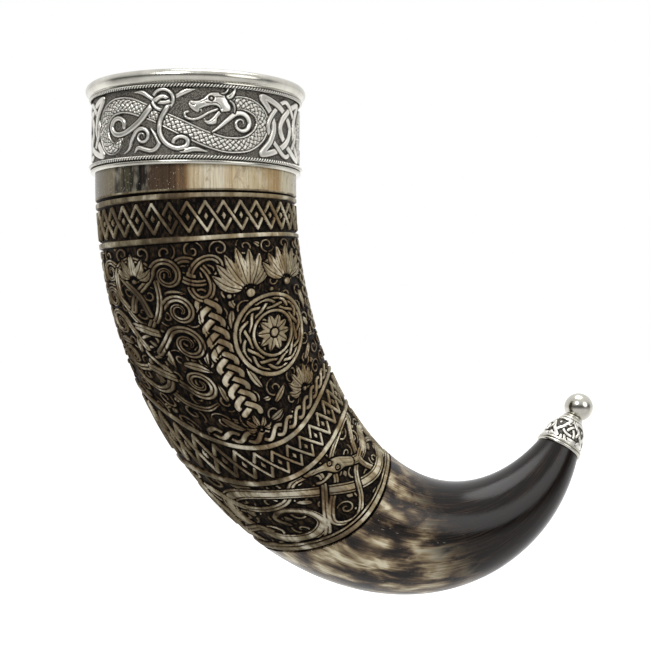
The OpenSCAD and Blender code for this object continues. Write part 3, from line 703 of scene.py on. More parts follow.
def drawBeastBand(board):
    drawScrolls(board, carving["bandHigh"], spacing=7.6)
    broad = [(17.8, 11.4, 1.6), (21.4, 14.2, 1.8), (25.4, 15.3, 2.0), (29.4, 14.2, 2.2), (33.4, 11.2, 2.2),
             (37.6, 11.2, 2.2), (39.4, 15.8, 2.2), (37, 21.6, 2.2), (31, 25, 2.2), (22, 24.6, 2.2),
             (13, 19.4, 2.2), (4, 11.2, 2.1), (-6, 5.6, 2.1), (-17.5, 5.2, 2.1), (-25, 10, 2.1),
             (-26.4, 18, 2.1), (-21, 24.4, 2.0), (-12, 25.6, 1.9), (-5.2, 21.6, 1.7), (-5.4, 15.6, 1.5),
             (-10.8, 12.6, 1.3), (-15.4, 15.6, 1.1), (-13.6, 19.2, 0.9)]
    strap(board, curve(broad), style=groovedStrap, base=0.6)
    fore = [(31, 1.8), (24.4, 10), (21.8, 18), (26.8, 28), (35.4, 27.4), (38.6, 20), (29.6, 14.4), (18, 15.4),
            (10.2, 23.6), (3, 27.6), (-2.8, 24), (2.2, 16.8), (9.4, 11.2), (13.4, 4.2), (21, 1.6)]
    back = [(-1, 2.2), (-8.4, 9.4), (-19.4, 11.6), (-29.6, 6.4), (-37, 9), (-38.4, 17.4), (-31.6, 22.4),
            (-22.6, 20.6), (-18.4, 27.4), (-9.6, 28.2), (-1, 17.6), (6.8, 5.4)]
    for ribbon in (fore, back):
        loopStrap(board, ribbon, width=2.3, style=splitStrap, base=0.6)
    for x in (41.6, -33.4):
        stem = [(-1.0, 2.4, 0.6), (1.2, 5.4, 1.1), (0.2, 10.6, 1.3), (2.4, 16, 1.2), (0.6, 22, 1.2),
                (3.4, 26.8, 0.9), (6.0, 27.4, 0.4)]
        strap(board, curve([(x + u, v, half) for u, v, half in stem]), style=splitStrap, base=0.6)
    weave(board)
    # long snout, open jaw, two eyes and cut lines, all turned towards the front
    c, s = math.cos(beastHead["turn"]), math.sin(beastHead["turn"])

    def head(points):
        u, v = np.array(points).T * [[1.0], [beastHead["deep"]]]
        return np.stack([beastHead["x"] + u * c - v * s, beastHead["y"] + u * s + v * c], 1)

    skull = [(2.2, -1.8), (-1.6, -3.0), (-4.8, -3.6), (-8.0, -3.3), (-10.4, -2.1), (-13.4, -0.6),
             (-16.6, 0.9), (-17.9, 2.4), (-17.0, 3.6), (-15.2, 3.1), (-12.6, 1.8), (-10.2, 1.4),
             (-8.4, 2.0), (-6.2, 2.8), (-4.0, 2.4), (-1.8, 1.4), (2.2, 1.5)]
    curvedPlate(board, head(skull), level=4.0, height=1.05, edge=0.5, crownAt=2.2)
    jaw = [(-6.2, 2.0), (-8.0, 3.8), (-9.6, 5.4), (-11.6, 6.8), (-13.3, 6.9), (-13.2, 5.6), (-11.4, 5.2),
           (-9.9, 3.6), (-9.0, 2.0)]
    curvedPlate(board, head(jaw), level=3.9, height=0.95, crown=0.2, crownAt=1.2)
    for x, y in head([(-8.5, -1.5), (-5.2, 0.7)]):
        boss(board, x, y, r=0.95, height=1.2, level=5.0, gap=0.35)
        score(board, [(x - 0.1, y), (x + 0.1, y)], width=0.7, depth=0.9)
    for line in ([(-16.9, 1.9), (-16.6, 2.6), (-15.9, 2.6)], [(-3.6, -2.2), (-1.0, -1.6), (1.8, -1.2)],
                 [(-14.6, 1.6), (-12.6, 0.8), (-10.6, 0.4)], [(-2.6, -0.4), (-0.4, 0.1), (1.8, 0.3)]):
        score(board, curve(head(line)), width=0.42, depth=0.55)
    for part in ((29.6, 19.0, 31.8, 10.2, 2.8, 0.6), (-31.0, 26.6, -24.6, 28.6, 2.4, 0.3),
                 (-21.0, 15.6, -20.6, 8.8, 2.4, 0.3), (13.6, 27.0, 20.4, 28.6, 2.2, 0.2),
                 (2.4, 3.2, 8.6, 2.0, 2.2, 0.2), (-1.4, 12.6, -6.2, 10.0, 2.0, 0.2),
                 (39.6, 27.6, 42.6, 23.4, 2.0, 0.3), (-13.0, 2.2, -20.0, 1.8, 1.8, 0.0)):
        drawLeaf(board, *part)


# Tip cap: upright triangles whose long corners cross, laced with hanging ones and with three-cornered knots
triangles = dict(top=0.5, foot=0.7, upright=0.64, hanging=0.4, short=1.6, knotR=0.33, knotAt=0.6,
                 knotWidth=0.85, bossAt=0.3, bossR=0.8, spacing=0.3, edge=0.3)


def drawTriangles(board, height, repeats, width):
    period = board.width / repeats
    spacing, edge = triangles["spacing"], triangles["edge"]
    top, foot = triangles["top"], height - triangles["foot"]
    for k in range(repeats):
        upright = (k * period, top, foot, triangles["upright"])
        hanging = ((k + 0.5) * period, foot - triangles["short"], top, triangles["hanging"])
        for x, apex, base, reach in (upright, hanging):
            corners = np.array([(x, apex), (x + reach * period, base), (x - reach * period, base)])
            strap(board, evenly(corners, spacing, True), width, closed=True, edge=edge)
        knot = triquetra(k * period, height * triangles["knotAt"], triangles["knotR"] * period, math.pi)
        strap(board, curve(knot, True, spacing), width * triangles["knotWidth"], closed=True, edge=edge)
    weave(board)
    for k in range(repeats):
        x, y = (k + 0.5) * period, height * triangles["bossAt"]
        boss(board, x, y, triangles["bossR"], height=0.9, level=0.2)


# Finishes: short calls for nodes, with screen colours of 0 to 255 turned to linear light
def tone(*levels):
    return tuple(c / 255 / 12.92 if c <= 10 else ((c / 255 + 0.055) / 1.055) ** 2.4 for c in levels) + (1.0,)


def newFinish(name):
    made = bpy.data.materials.new(name)
    made.use_nodes = True
    return made, made.node_tree, made.node_tree.nodes["Principled BSDF"]


def node(tree, kind, inputs, **settings):
    made = tree.nodes.new(kind)
    for key, value in settings.items():
        setattr(made, key, value)
    for key, value in inputs.items():
        feed(tree, made.inputs[key], value)
    return made


def feed(tree, socket, value):
    if isinstance(value, bpy.types.NodeSocket):
        tree.links.new(value, socket)
    else:
        socket.default_value = value


def attribute(tree, name, output="Fac"):
    return node(tree, "ShaderNodeAttribute", {}, attribute_name=name).outputs[output]


def stretched(tree, vector, scale):
    return node(tree, "ShaderNodeMapping", {"Vector": vector, "Scale": scale}).outputs[0]


def noise(tree, vector, scale, detail, rough=0.6, warp=0.0):
    return node(tree, "ShaderNodeTexNoise", {"Vector": vector, "Scale": scale, "Detail": detail,
                                             "Roughness": rough, "Distortion": warp}).outputs[0]


def objectPlace(tree):
    return node(tree, "ShaderNodeTexCoord", {}).outputs["Object"]


def sums(tree, kind, one, two=0.0, three=0.0, clamp=False):
    made = node(tree, "ShaderNodeMath", {0: one, 1: two, 2: three}, operation=kind, use_clamp=clamp)
    return made.outputs[0]


def spread(tree, value, low, high, start=0.0, end=1.0):
    return node(tree, "ShaderNodeMapRange", {0: value, 1: low, 2: high, 3: start, 4: end},
                interpolation_type="SMOOTHSTEP").outputs[0]


def mixed(tree, factor, one, two, kind="MIX"):
    made = node(tree, "ShaderNodeMix", {0: factor, 6: one, 7: two}, data_type="RGBA", blend_type=kind)
    return made.outputs[2]


def ramp(tree, factor, stops):
    made = node(tree, "ShaderNodeValToRGB", {0: factor})
    points = made.color_ramp.elements
    while len(points) < len(stops):
        points.new(0.5)
    for point, (place, colour) in zip(points, stops):
        point.position = place
        point.color = colour
    return made.outputs[0]


def bumped(tree, shader, height, strength, distance):
    made = node(tree, "ShaderNodeBump", {"Height": height, "Strength": strength, "Distance": distance * mm})
    tree.links.new(made.outputs[0], shader.inputs["Normal"])


# Horn: colours by the turn round the mouth, as a raw horn has them, in degrees from the front
hornTones = ((-180, (138, 122, 96)), (-130, (100, 93, 77)), (-85, (58, 51, 41)), (-64, (90, 80, 58)),
             (-50, (108, 97, 72)), (-44, (64, 59, 46)), (-39, (24, 22, 18)), (-36, (74, 70, 52)),
             (-33, (54, 49, 36)), (-30, (11, 10, 8)), (-24, (15, 13, 11)), (-20, (52, 40, 29)),
             (-11, (70, 53, 38)), (-7, (46, 30, 20)), (-3, (82, 63, 45)), (3, (128, 100, 68)),
             (8, (178, 162, 132)), (13, (200, 191, 170)), (22, (164, 140, 98)), (31, (190, 178, 150)),
             (43, (174, 154, 116)), (54, (158, 128, 82)), (62, (192, 182, 150)), (80, (172, 162, 140)),
             (120, (158, 140, 108)), (180, (138, 122, 96)))


hollowTone = (88, 66, 46)


# The horn's place as a pattern sees it: round the horn and along it, in centimetres
def hornGrain(tree):
    return attribute(tree, "grain", "Vector")


def grainParts(tree):
    return node(tree, "ShaderNodeSeparateXYZ", {0: hornGrain(tree)}).outputs


# A pattern that is drawn out along the horn
def drawn(tree, stretch, scale, detail, rough=0.6, warp=0.0):
    return noise(tree, stretched(tree, hornGrain(tree), (1, 1, stretch)), scale, detail, rough, warp)


def look(tree, shader, colour, rough, metal=0.0, shine=0.5):
    for key, value in (("Base Color", colour), ("Roughness", rough), ("Metallic", metal),
                       ("Specular IOR Level", shine)):
        feed(tree, shader.inputs[key], value)


def hornLook(tree, shader, colour, rough, shine):
    look(tree, shader, mixed(tree, attribute(tree, "inside"), colour, tone(*hollowTone)), rough, shine=shine)


def hornStreaks(tree):
    x, y, _ = grainParts(tree)
    wander = drawn(tree, stretch=0.05, scale=2.6, detail=6, rough=0.62)
    turn = sums(tree, "MULTIPLY_ADD", sums(tree, "ARCTAN2", y, x), 0.5 / math.pi, 0.5)
    turn = sums(tree, "ADD", turn, sums(tree, "MULTIPLY_ADD", wander, 0.1, -0.05))
    base = ramp(tree, turn, [(place / 360 + 0.5, tone(*colour)) for place, colour in hornTones])
    fibre = drawn(tree, stretch=0.04, scale=22.0, detail=3)
    shade = ramp(tree, fibre, [(0.3, (0.3, 0.3, 0.3, 1)), (0.62, (0.72, 0.72, 0.7, 1))])
    return mixed(tree, 0.5, base, shade, "OVERLAY")


def makeBareHorn():
    made, tree, shader = newFinish("hornBare")
    cloud = drawn(tree, stretch=0.35, scale=2.4, detail=5)
    colour = mixed(tree, spread(tree, cloud, 0.5, 0.72, 0.0, 0.42), hornStreaks(tree), tone(216, 206, 184))
    tan = drawn(tree, stretch=0.5, scale=4.2, detail=4, warp=0.4)
    colour = mixed(tree, spread(tree, tan, 0.54, 0.68, 0.0, 0.55), colour, tone(140, 116, 84), "DARKEN")
    fleck = drawn(tree, stretch=0.5, scale=30.0, detail=1, rough=0.5)
    colour = mixed(tree, spread(tree, fleck, 0.69, 0.77, 0.0, 0.6), colour, tone(232, 225, 208))
    hornLook(tree, shader, colour, spread(tree, cloud, 0.3, 0.7, 0.24, 0.36), shine=0.35)
    bumped(tree, shader, drawn(tree, stretch=0.04, scale=30.0, detail=3), strength=0.25, distance=0.1)
    return made


def makeCarvedHorn():
    made, tree, shader = newFinish("hornCarved")
    patches = drawn(tree, stretch=0.45, scale=1.7, detail=6, rough=0.62)
    tops = ramp(tree, patches, [(0.32, tone(54, 47, 36)), (0.43, tone(94, 84, 66)),
                                (0.53, tone(142, 131, 107)), (0.62, tone(214, 207, 186))])
    tops = mixed(tree, 0.3, tops, hornStreaks(tree))
    hatch = drawn(tree, stretch=0.06, scale=34.0, detail=2, rough=0.5)
    ground = ramp(tree, hatch, [(0.44, tone(4, 4, 4)), (0.58, tone(9, 8, 8)), (0.68, tone(34, 28, 23))])
    # the stain-and-shade map: dark stain on the ground, and painted shade that turns the flanks brown and
    # darkens narrow cuts and ground beside tall straps
    stain = attribute(tree, "stain")
    soak = drawn(tree, stretch=0.6, scale=9.0, detail=4)
    depth = sums(tree, "ADD", stain, spread(tree, soak, 0.3, 0.7, -0.1, 0.16), clamp=True)
    edge = mixed(tree, spread(tree, depth, 0.0, 0.5), tops, tone(84, 66, 46))
    colour = mixed(tree, spread(tree, depth, 0.3, 0.85), edge, ground)
    hornLook(tree, shader, colour, spread(tree, depth, 0.1, 0.8, 0.38, 0.6), shine=0.05)
    height = sums(tree, "MULTIPLY", hatch, spread(tree, stain, 0.2, 0.9, 0.15, 1.0))
    bumped(tree, shader, height, strength=0.5, distance=0.25)
    return made


def makeTailHorn():
    made, tree, shader = newFinish("hornTail")
    _, inward, along = grainParts(tree)
    blotch = drawn(tree, stretch=0.6, scale=1.5, detail=3, rough=0.5, warp=0.4)
    fibre = drawn(tree, stretch=0.05, scale=13.0, detail=6, rough=0.68)
    marks = sums(tree, "ADD", blotch, sums(tree, "MULTIPLY_ADD", fibre, 0.26, -0.13))
    pale = ramp(tree, marks, [(0.38, tone(20, 15, 12)), (0.45, tone(46, 36, 27)), (0.5, tone(76, 61, 46)),
                              (0.55, tone(110, 94, 71)), (0.61, tone(150, 134, 104)),
                              (0.7, tone(208, 198, 172))])
    deep = ramp(tree, fibre, [(0.38, tone(6, 5, 5)), (0.55, tone(22, 15, 11)), (0.66, tone(46, 31, 21)),
                              (0.76, tone(118, 76, 44))])
    # the dark tip starts sooner on the inner side of the bend
    reach = sums(tree, "MULTIPLY_ADD", inward, 0.42, along)
    reach = sums(tree, "MULTIPLY_ADD", sums(tree, "SUBTRACT", blotch, 0.5), 5.0, reach)
    dark = spread(tree, reach, 16.2, 18.4)
    fleck = spread(tree, drawn(tree, stretch=0.3, scale=26.0, detail=1, rough=0.5), 0.72, 0.79, 0.0, 0.5)
    fleck = sums(tree, "MULTIPLY", fleck, sums(tree, "SUBTRACT", 1.0, dark))
    colour = mixed(tree, fleck, mixed(tree, dark, pale, deep), tone(206, 198, 180))
    rough = spread(tree, fibre, 0.35, 0.65, 0.17, 0.36)
    hornLook(tree, shader, colour, sums(tree, "MULTIPLY_ADD", dark, -0.12, rough), shine=0.27)
    bumped(tree, shader, fibre, strength=0.15, distance=0.2)
    return made


# White metal: polished, and cast with a dark patina and painted shade in what lies low
def makePolishedMetal():
    made, tree, shader = newFinish("polishedMetal")
    haze = noise(tree, objectPlace(tree), scale=90.0, detail=5)
    colour = ramp(tree, haze, [(0.3, tone(176, 173, 163)), (0.7, tone(212, 210, 200))])
    look(tree, shader, colour, spread(tree, haze, 0.3, 0.75, 0.13, 0.25), metal=1.0)
    rub = noise(tree, stretched(tree, objectPlace(tree), (1, 1, 7)), scale=260.0, detail=3)
    bumped(tree, shader, rub, strength=0.06, distance=0.1)
    return made


def makeCastMetal():
    made, tree, shader = newFinish("castMetal")
    place = objectPlace(tree)
    haze = noise(tree, place, scale=160.0, detail=5)
    stipple = node(tree, "ShaderNodeTexVoronoi", {"Vector": place, "Scale": 2300.0}).outputs["Distance"]
    # patina in what lies low, with painted shade in narrow cuts and beside tall straps, from the
    # stain-and-shade map
    stain = attribute(tree, "stain")
    tops = ramp(tree, haze, [(0.3, tone(212, 209, 200)), (0.7, tone(240, 238, 231))])
    low = mixed(tree, spread(tree, stipple, 0.2, 0.7), tone(128, 125, 117), tone(62, 58, 53))
    low = mixed(tree, spread(tree, stain, 0.74, 1.0), low, tone(24, 22, 20))
    wearAndShade = sums(tree, "ADD", stain, spread(tree, haze, 0.3, 0.7, -0.08, 0.12), clamp=True)
    edge = mixed(tree, spread(tree, wearAndShade, 0.05, 0.5), tops, tone(122, 118, 108))
    colour = mixed(tree, spread(tree, wearAndShade, 0.35, 0.9), edge, low)
    rough = spread(tree, wearAndShade, 0.1, 0.8, 0.34, 0.58)
    look(tree, shader, colour, rough, metal=spread(tree, wearAndShade, 0.3, 0.9, 1.0, 0.4), shine=0.25)
    stipple = sums(tree, "MULTIPLY", stipple, spread(tree, stain, 0.3, 0.9))
    bumped(tree, shader, stipple, strength=0.6, distance=0.2)
    return made


def makeSteel():
    made, tree, shader = newFinish("studSteel")
    haze = noise(tree, objectPlace(tree), scale=200.0, detail=4)
    colour = mixed(tree, haze, tone(120, 120, 120), tone(150, 150, 150))
    look(tree, shader, colour, spread(tree, haze, 0.3, 0.7, 0.32, 0.48), metal=1.0)
    return made


def makeBedding():
    made, tree, shader = newFinish("beddingCompound")
    grit = noise(tree, objectPlace(tree), scale=700.0, detail=4)
    look(tree, shader, ramp(tree, grit, [(0.3, tone(38, 30, 25)), (0.7, tone(66, 54, 44))]), rough=0.8)
    bumped(tree, shader, grit, strength=0.4, distance=0.2)
    return made


bareHorn = makeBareHorn()
carvedHorn = makeCarvedHorn()
tailHorn = makeTailHorn()
polishedMetal = makePolishedMetal()
castMetal = makeCastMetal()
steelFinish = makeSteel()
beddingFinish = makeBedding()
print("finishes made")


# The horn: its centre line bows all along, hooks towards the tip and leans a little to the back
horn = dict(mouthR=36.6, tipR=8.2, run=234.0, taper=1.97, bow=72.0, hook=93.5, hookAt=184.5, hookSpread=30.0,
            lean=16.0, bendZ=-33.6, mouthWall=3.4, deepWall=12.0, hollowRun=150.0, seatR=36.2, seatZ=-30.64,
            topZ=-0.35, spigotR=6.7, spigotEndR=4.6, spigotRun=9.0, studR=1.54, studRun=6.0, grainR=3.2)

# The carving, by distance along the horn and turn round it
carving = dict(depth=1.15, ringEnd=5.7, ringOver=2.3, upperTop=7.4, panelGap=1.5, panelR=34.5, panelHigh=75.0,
               panelParts=3, bandR=27.5, bandHigh=30.0, fillet=0.8, thin=0.3, thinGap=0.4, line=0.55,
               soft=0.3, past=0.7, tailGap=1.8, bandTile=15.0, lozenges=18, lozengeStrap=1.3, girth=230.0,
               step=0.12)


# Each border dips at the front and the back, and slants towards the inner side of the bend
def borderAt(a, level, dip, slant):
    return level + dip * np.cos(a) ** 2 + slant * np.sin(a)


def upperFoot(a):
    return borderAt(a, level=21.4, dip=0.7, slant=2.0)


def panelTop(a):
    return upperFoot(a) + carving["panelGap"]


def panelFoot(a):
    return borderAt(a, level=73.7, dip=23.6, slant=12.9)


def bandTop(a):
    return borderAt(a, level=95.9, dip=14.7, slant=9.1)


def bandFoot(a):
    return borderAt(a, level=130.3, dip=8.1, slant=9.35)


def settle(s):
    return 1 / (1 + np.exp((horn["hookAt"] - s) / horn["hookSpread"]))


def bearings(s):
    s = np.clip(s, 0, horn["run"])
    turned = horn["bow"] * s / horn["run"] + horn["hook"] * (settle(s) - settle(0.0))
    return np.radians(turned), np.radians(horn["lean"] * (s / horn["run"]) ** 2)


def forward(s):
    turned, lean = bearings(s)
    return np.stack([np.sin(turned) * np.cos(lean), np.sin(lean), -np.cos(turned) * np.cos(lean)], -1)


# Centre line in steps of 1 mm, each along the direction at its middle
centreMarks = np.arange(horn["run"] + 1)
centreLine = np.vstack([np.zeros((1, 3)), np.cumsum(forward(centreMarks[:-1] + 0.5), axis=0)])
centreLine = centreLine + [0, 0, horn["bendZ"]]


def onHorn(s, a, r):
    held = np.clip(s, 0, horn["run"])
    centre = np.stack([np.interp(held, centreMarks, column) for column in centreLine.T], -1)
    ahead = forward(s)
    turned, _ = bearings(s)
    inward = np.stack([np.cos(turned), np.zeros_like(turned), np.sin(turned)], -1)
    front = np.cross(ahead, inward)
    return (centre + ahead * (s - held)[..., None]
            + r[..., None] * (np.cos(a)[..., None] * front + np.sin(a)[..., None] * inward))


def hornR(s):
    part = np.clip(s, 0, horn["run"]) / horn["run"]
    return horn["mouthR"] - (horn["mouthR"] - horn["tipR"]) * part ** horn["taper"]


def hollowR(s):
    s = np.clip(s, 0, None)
    thicker = (horn["deepWall"] - horn["mouthWall"]) * (s / horn["hollowRun"]) ** 2
    return hornR(s) - horn["mouthWall"] - thicker


mergeDistance = 0.0005 * mm


# A skin over rows of points: it closes across, and from its last row to its first if it is a ring
def skin(name, points, ring, folds, **marks):
    rows, cols = points.shape[:2]
    wrap = ((0, 1 if ring else 0), (0, 1))
    bm = bmesh.new()
    bmesh.ops.create_grid(bm, x_segments=cols, y_segments=rows - (0 if ring else 1), size=0.5)
    mesh = bpy.data.meshes.new(name)
    bm.to_mesh(mesh)
    mesh.vertices.foreach_set("co", (np.pad(points, wrap + ((0, 0),), mode="wrap") * mm).ravel())
    marks["row"] = np.broadcast_to(np.arange(rows, dtype=float)[:, None], (rows, cols))
    for key, value in marks.items():
        if value.ndim == 3:
            layer = mesh.attributes.new(key, "FLOAT_VECTOR", "POINT")
            layer.data.foreach_set("vector", np.pad(value, wrap + ((0, 0),), mode="wrap").ravel())
        else:
            layer = mesh.attributes.new(key, "FLOAT", "POINT")
            layer.data.foreach_set("value", np.pad(value, wrap, mode="wrap").ravel())
    bm.clear()
    bm.from_mesh(mesh)
    bmesh.ops.remove_doubles(bm, verts=bm.verts, dist=mergeDistance)
    bmesh.ops.recalc_face_normals(bm, faces=bm.faces)
    bm.to_mesh(mesh)
    bm.free()
    mesh.shade_smooth()
    # edges along the folds stay sharp
    ends = np.empty(2 * len(mesh.edges), np.int32)
    mesh.edges.foreach_get("vertices", ends)
    rowOf = np.empty(len(mesh.vertices), np.float32)
    mesh.attributes["row"].data.foreach_get("value", rowOf)
    ends = rowOf[ends].reshape(-1, 2)
    sharp = (ends[:, 0] == ends[:, 1]) & np.isin(ends[:, 0], folds)
    mesh.attributes.new("sharp_edge", "BOOLEAN", "EDGE").data.foreach_set("value", sharp)
    mesh.attributes.remove(mesh.attributes["row"])
    return mesh


def addObject(name, data):
    made = bpy.data.objects.new(name, data)
    bpy.context.collection.objects.link(made)
    return made


def addPiece(name, data, finish, slot, *nodes):
    piece = addObject(name, data)
    data.materials.append(finish)
    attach(piece, "root")
    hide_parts(*nodes)


def turnsOf(cols):
    return np.linspace(-math.pi, math.pi, cols, endpoint=False)


# Rings that are the same all round, as rows of each of their measures
def ringRows(cols, rings):
    return np.repeat(np.array(rings, float).T[:, :, None], cols, 2)


# A part of the horn from distances, turns and radii: some of its rows face the hollow
def addHorn(name, s, a, r, ring, folds, hollowRows, finish, **marks):
    a = np.broadcast_to(a, s.shape)
    inside = np.broadcast_to(hollowRows[:, None].astype(float), s.shape)
    grain = np.stack([horn["grainR"] * np.cos(a), horn["grainR"] * np.sin(a), s / 10], -1)
    mesh = skin(name, onHorn(s, a, r), ring, folds, inside=inside, grain=grain, **marks)
    addPiece(name, mesh, finish, "horn", "horn_shell")


# A closed ring of horn between two borders: a carved outside and the plain wall of the hollow
def hornRing(name, startAt, endAt, reliefAt, cols, rows):
    innerRows = 10
    a = turnsOf(cols)
    start, end = startAt(a), endAt(a)
    s = start + (end - start) * np.linspace(0, 1, rows)[:, None]
    back = start + (end - start) * np.linspace(1, 0, innerRows)[:, None]
    relief, stain = reliefAt(s, np.broadcast_to(a, s.shape))
    r = np.vstack([hornR(s) - carving["depth"] * (1 - relief), hollowR(back)])
    folds = [0, rows - 1, rows, rows + innerRows - 1]
    addHorn(name, np.vstack([s, back]), a, r, True, folds, np.arange(len(r)) >= rows, carvedHorn,
            stain=np.vstack([stain, np.zeros_like(back)]))


# A flat fillet between two dark lines
def fillet(s, at, half=carving["fillet"]):
    return smooth((half - np.abs(s - at)) / carving["soft"] + 0.5)


# Ridges stand clear of the stain and painted shade
def joined(relief, stain, *ridges):
    stainTop, stainSoft = 0.55, 0.45
    for ridge in ridges:
        relief = np.maximum(relief, ridge)
    return relief, np.minimum(stain, smooth((stainTop - relief) / stainSoft))


# Carving that gives way to ground at full stain and painted shade before its border
def faded(relief, stain, s, end):
    edge = smooth((end - s) / carving["soft"])
    return relief * edge, np.maximum(stain, 1 - edge)


lozengeBoard = Board(carving["girth"] / carving["lozenges"], carving["bandTile"], carving["step"], gap=0.4)
drawLozenges(lozengeBoard, carving["bandTile"], carving["lozengeStrap"], 1)
panelBoard = Board(math.pi * carving["panelR"], carving["panelHigh"], carving["step"], gap=0.42)
drawPanel(panelBoard)
bandBoard = Board(math.pi * carving["bandR"], carving["bandHigh"], carving["step"], gap=0.42)
drawBeastBand(bandBoard)
# dark stain with painted shade in narrow cuts and beside tall straps, for each board
stains = {board: stainOf(board, low=0.15, high=0.85) for board in (lozengeBoard, panelBoard, bandBoard)}
print("carving drawn")


def lifted(board, u, v):
    return sample(board, board.relief, u, v), sample(board, stains[board], u, v)


# A band of lozenges between two borders, with a fillet on each
def lozengeBand(s, a, top, foot, *ridges):
    across = (s - top) / (foot - top)
    around = a / (2 * math.pi) * carving["lozenges"] * lozengeBoard.width
    relief, stain = lifted(lozengeBoard, around, across * carving["bandTile"])
    inside = (across > 0) & (across < 1)
    relief = np.where(inside, relief, 0)
    stain = np.where(inside, stain, 1)
    return joined(relief, stain, fillet(s, top), fillet(s, foot), *ridges)


def upperBandRelief(s, a):
    ring = smooth((carving["ringEnd"] - s) / carving["soft"] + 0.5)
    return lozengeBand(s, a, carving["upperTop"], upperFoot(a), ring)


def panelRelief(s, a):
    across = (s - panelTop(a)) / (panelFoot(a) - panelTop(a))
    relief, stain = lifted(panelBoard, a * carving["panelR"], across * carving["panelHigh"])
    return faded(relief, stain, s, panelFoot(a) - carving["fillet"] - carving["line"])


def lowerBandRelief(s, a):
    return lozengeBand(s, a, panelFoot(a), bandTop(a))


def bandRelief(s, a):
    across = (s - bandTop(a)) / (bandFoot(a) - bandTop(a))
    relief, stain = lifted(bandBoard, a * carving["bandR"], across * carving["bandHigh"])
    thin = bandFoot(a) - carving["fillet"] - carving["line"] - carving["thinGap"]
    relief, stain = faded(relief, stain, s, thin - carving["thinGap"] - carving["line"])
    return joined(relief, stain, fillet(s, bandFoot(a)), fillet(s, thin, carving["thin"]))


# Where one ring of horn ends and the next starts
mouthEnd = carving["upperTop"] - carving["ringOver"]
past = carving["fillet"] + carving["past"]


def upperStart(a):
    return mouthEnd + 0 * a


def panelCut(k):
    return lambda a: panelTop(a) + (panelFoot(a) - past - panelTop(a)) * k / carving["panelParts"]


def lowerStart(a):
    return panelFoot(a) - past


def bandStart(a):
    return bandTop(a) + past


def tailStart(a):
    return bandFoot(a) + carving["tailGap"]


# The bare ring runs up under the collar, on a seat that is turned down a little
def makeMouthRing():
    cols, rows = 256, 8
    top = horn["bendZ"] - horn["topZ"]
    seat = horn["bendZ"] - horn["seatZ"]
    outer = [(top, horn["seatR"]), (seat, horn["seatR"]), (seat, horn["mouthR"])]
    outer += [(s, hornR(s)) for s in np.linspace(seat + 1, mouthEnd, rows)]
    inner = [(s, hollowR(s)) for s in np.linspace(mouthEnd, top, rows)]
    s, r = ringRows(cols, outer + inner)
    folds = [0, 1, 2, len(outer) - 1, len(outer), len(s) - 1]
    addHorn("horn_mouth_ring", s, turnsOf(cols), r, True, folds, np.arange(len(s)) >= len(outer), bareHorn)


# The plain tail: the end of the hollow, the outside to the tip, and the spigot inside the cap
def makeTail():
    cols, rows, noseRows, noseGap = 300, 150, 14, 0.5
    a = turnsOf(cols)
    start = tailStart(a)
    nose = start.min() - noseGap
    noseLong = horn["hollowRun"] - nose
    # each column's last row is the edge where the carved rings end
    last = np.arcsin(np.clip((start - nose) / noseLong, 0, 1))
    turn = last + (math.pi / 2 - last) * np.linspace(1, 0, noseRows)[:, None]
    noseS = nose + noseLong * np.sin(turn)
    noseR = hollowR(start) * np.cos(turn) / np.cos(last)
    outS = start + (horn["run"] - start) * np.linspace(0, 1, rows)[:, None]
    end = horn["run"] + horn["spigotRun"]
    spigotRings = [(horn["run"], horn["spigotR"]), (end, horn["spigotEndR"]), (end, horn["studR"]),
                   (end - horn["studRun"], horn["studR"]), (end - horn["studRun"], 0.0)]
    tipS, tipR = ringRows(cols, spigotRings)
    s = np.vstack([noseS, outS, tipS])
    r = np.vstack([noseR, hornR(outS), tipR])
    spigot = noseRows + rows
    folds = [noseRows - 1, noseRows] + list(range(spigot - 1, spigot + 4))
    addHorn("horn_tail", s, a, r, False, folds, np.arange(len(s)) < noseRows, tailHorn)


makeMouthRing()
hornRing("horn_upper_band", upperStart, panelTop, upperBandRelief, cols=840, rows=72)
for k in range(carving["panelParts"]):
    hornRing("horn_panel_%d" % (k + 1), panelCut(k), panelCut(k + 1), panelRelief, cols=840, rows=96)
hornRing("horn_lower_band", lowerStart, bandStart, lowerBandRelief, cols=840, rows=96)
hornRing("horn_beast_band", bandStart, tailStart, bandRelief, cols=720, rows=128)
makeTail()
print("horn carved")


# Collar: the embossed band is a drum of relief, and the other rings are spun
collar = dict(innerR=36.55, outerR=38.05, topZ=-3.34, footZ=-28.81, friezeTop=-4.65, friezeFoot=-27.5,
              emboss=0.75, wireR=38.15, wireD=1.3, upperWireZ=-3.99, lowerWireZ=-28.16, wireGap=0.04,
              knotU=38.7)
# where the frieze's knots lie round the collar, and where they lie on its board
frieze = dict(width=84.0, around=(-119.54, -48.5, 41.2, 119.54), board=(-125.2, -45.3, 38.7, 126.8))
rope = dict(twists=108, perTwist=14, rows=16, fullness=0.7, least=0.42, stainAt=0.76, stainSoft=0.36)


# Rows of height, radius, and stain with painted shade: plain rings before and after those that carry relief
def drum(before, z, r, stain, after):
    cols = z.shape[1]
    rows = zip(ringRows(cols, before), (z, r, stain), ringRows(cols, after))
    return [np.vstack(parts) for parts in rows]


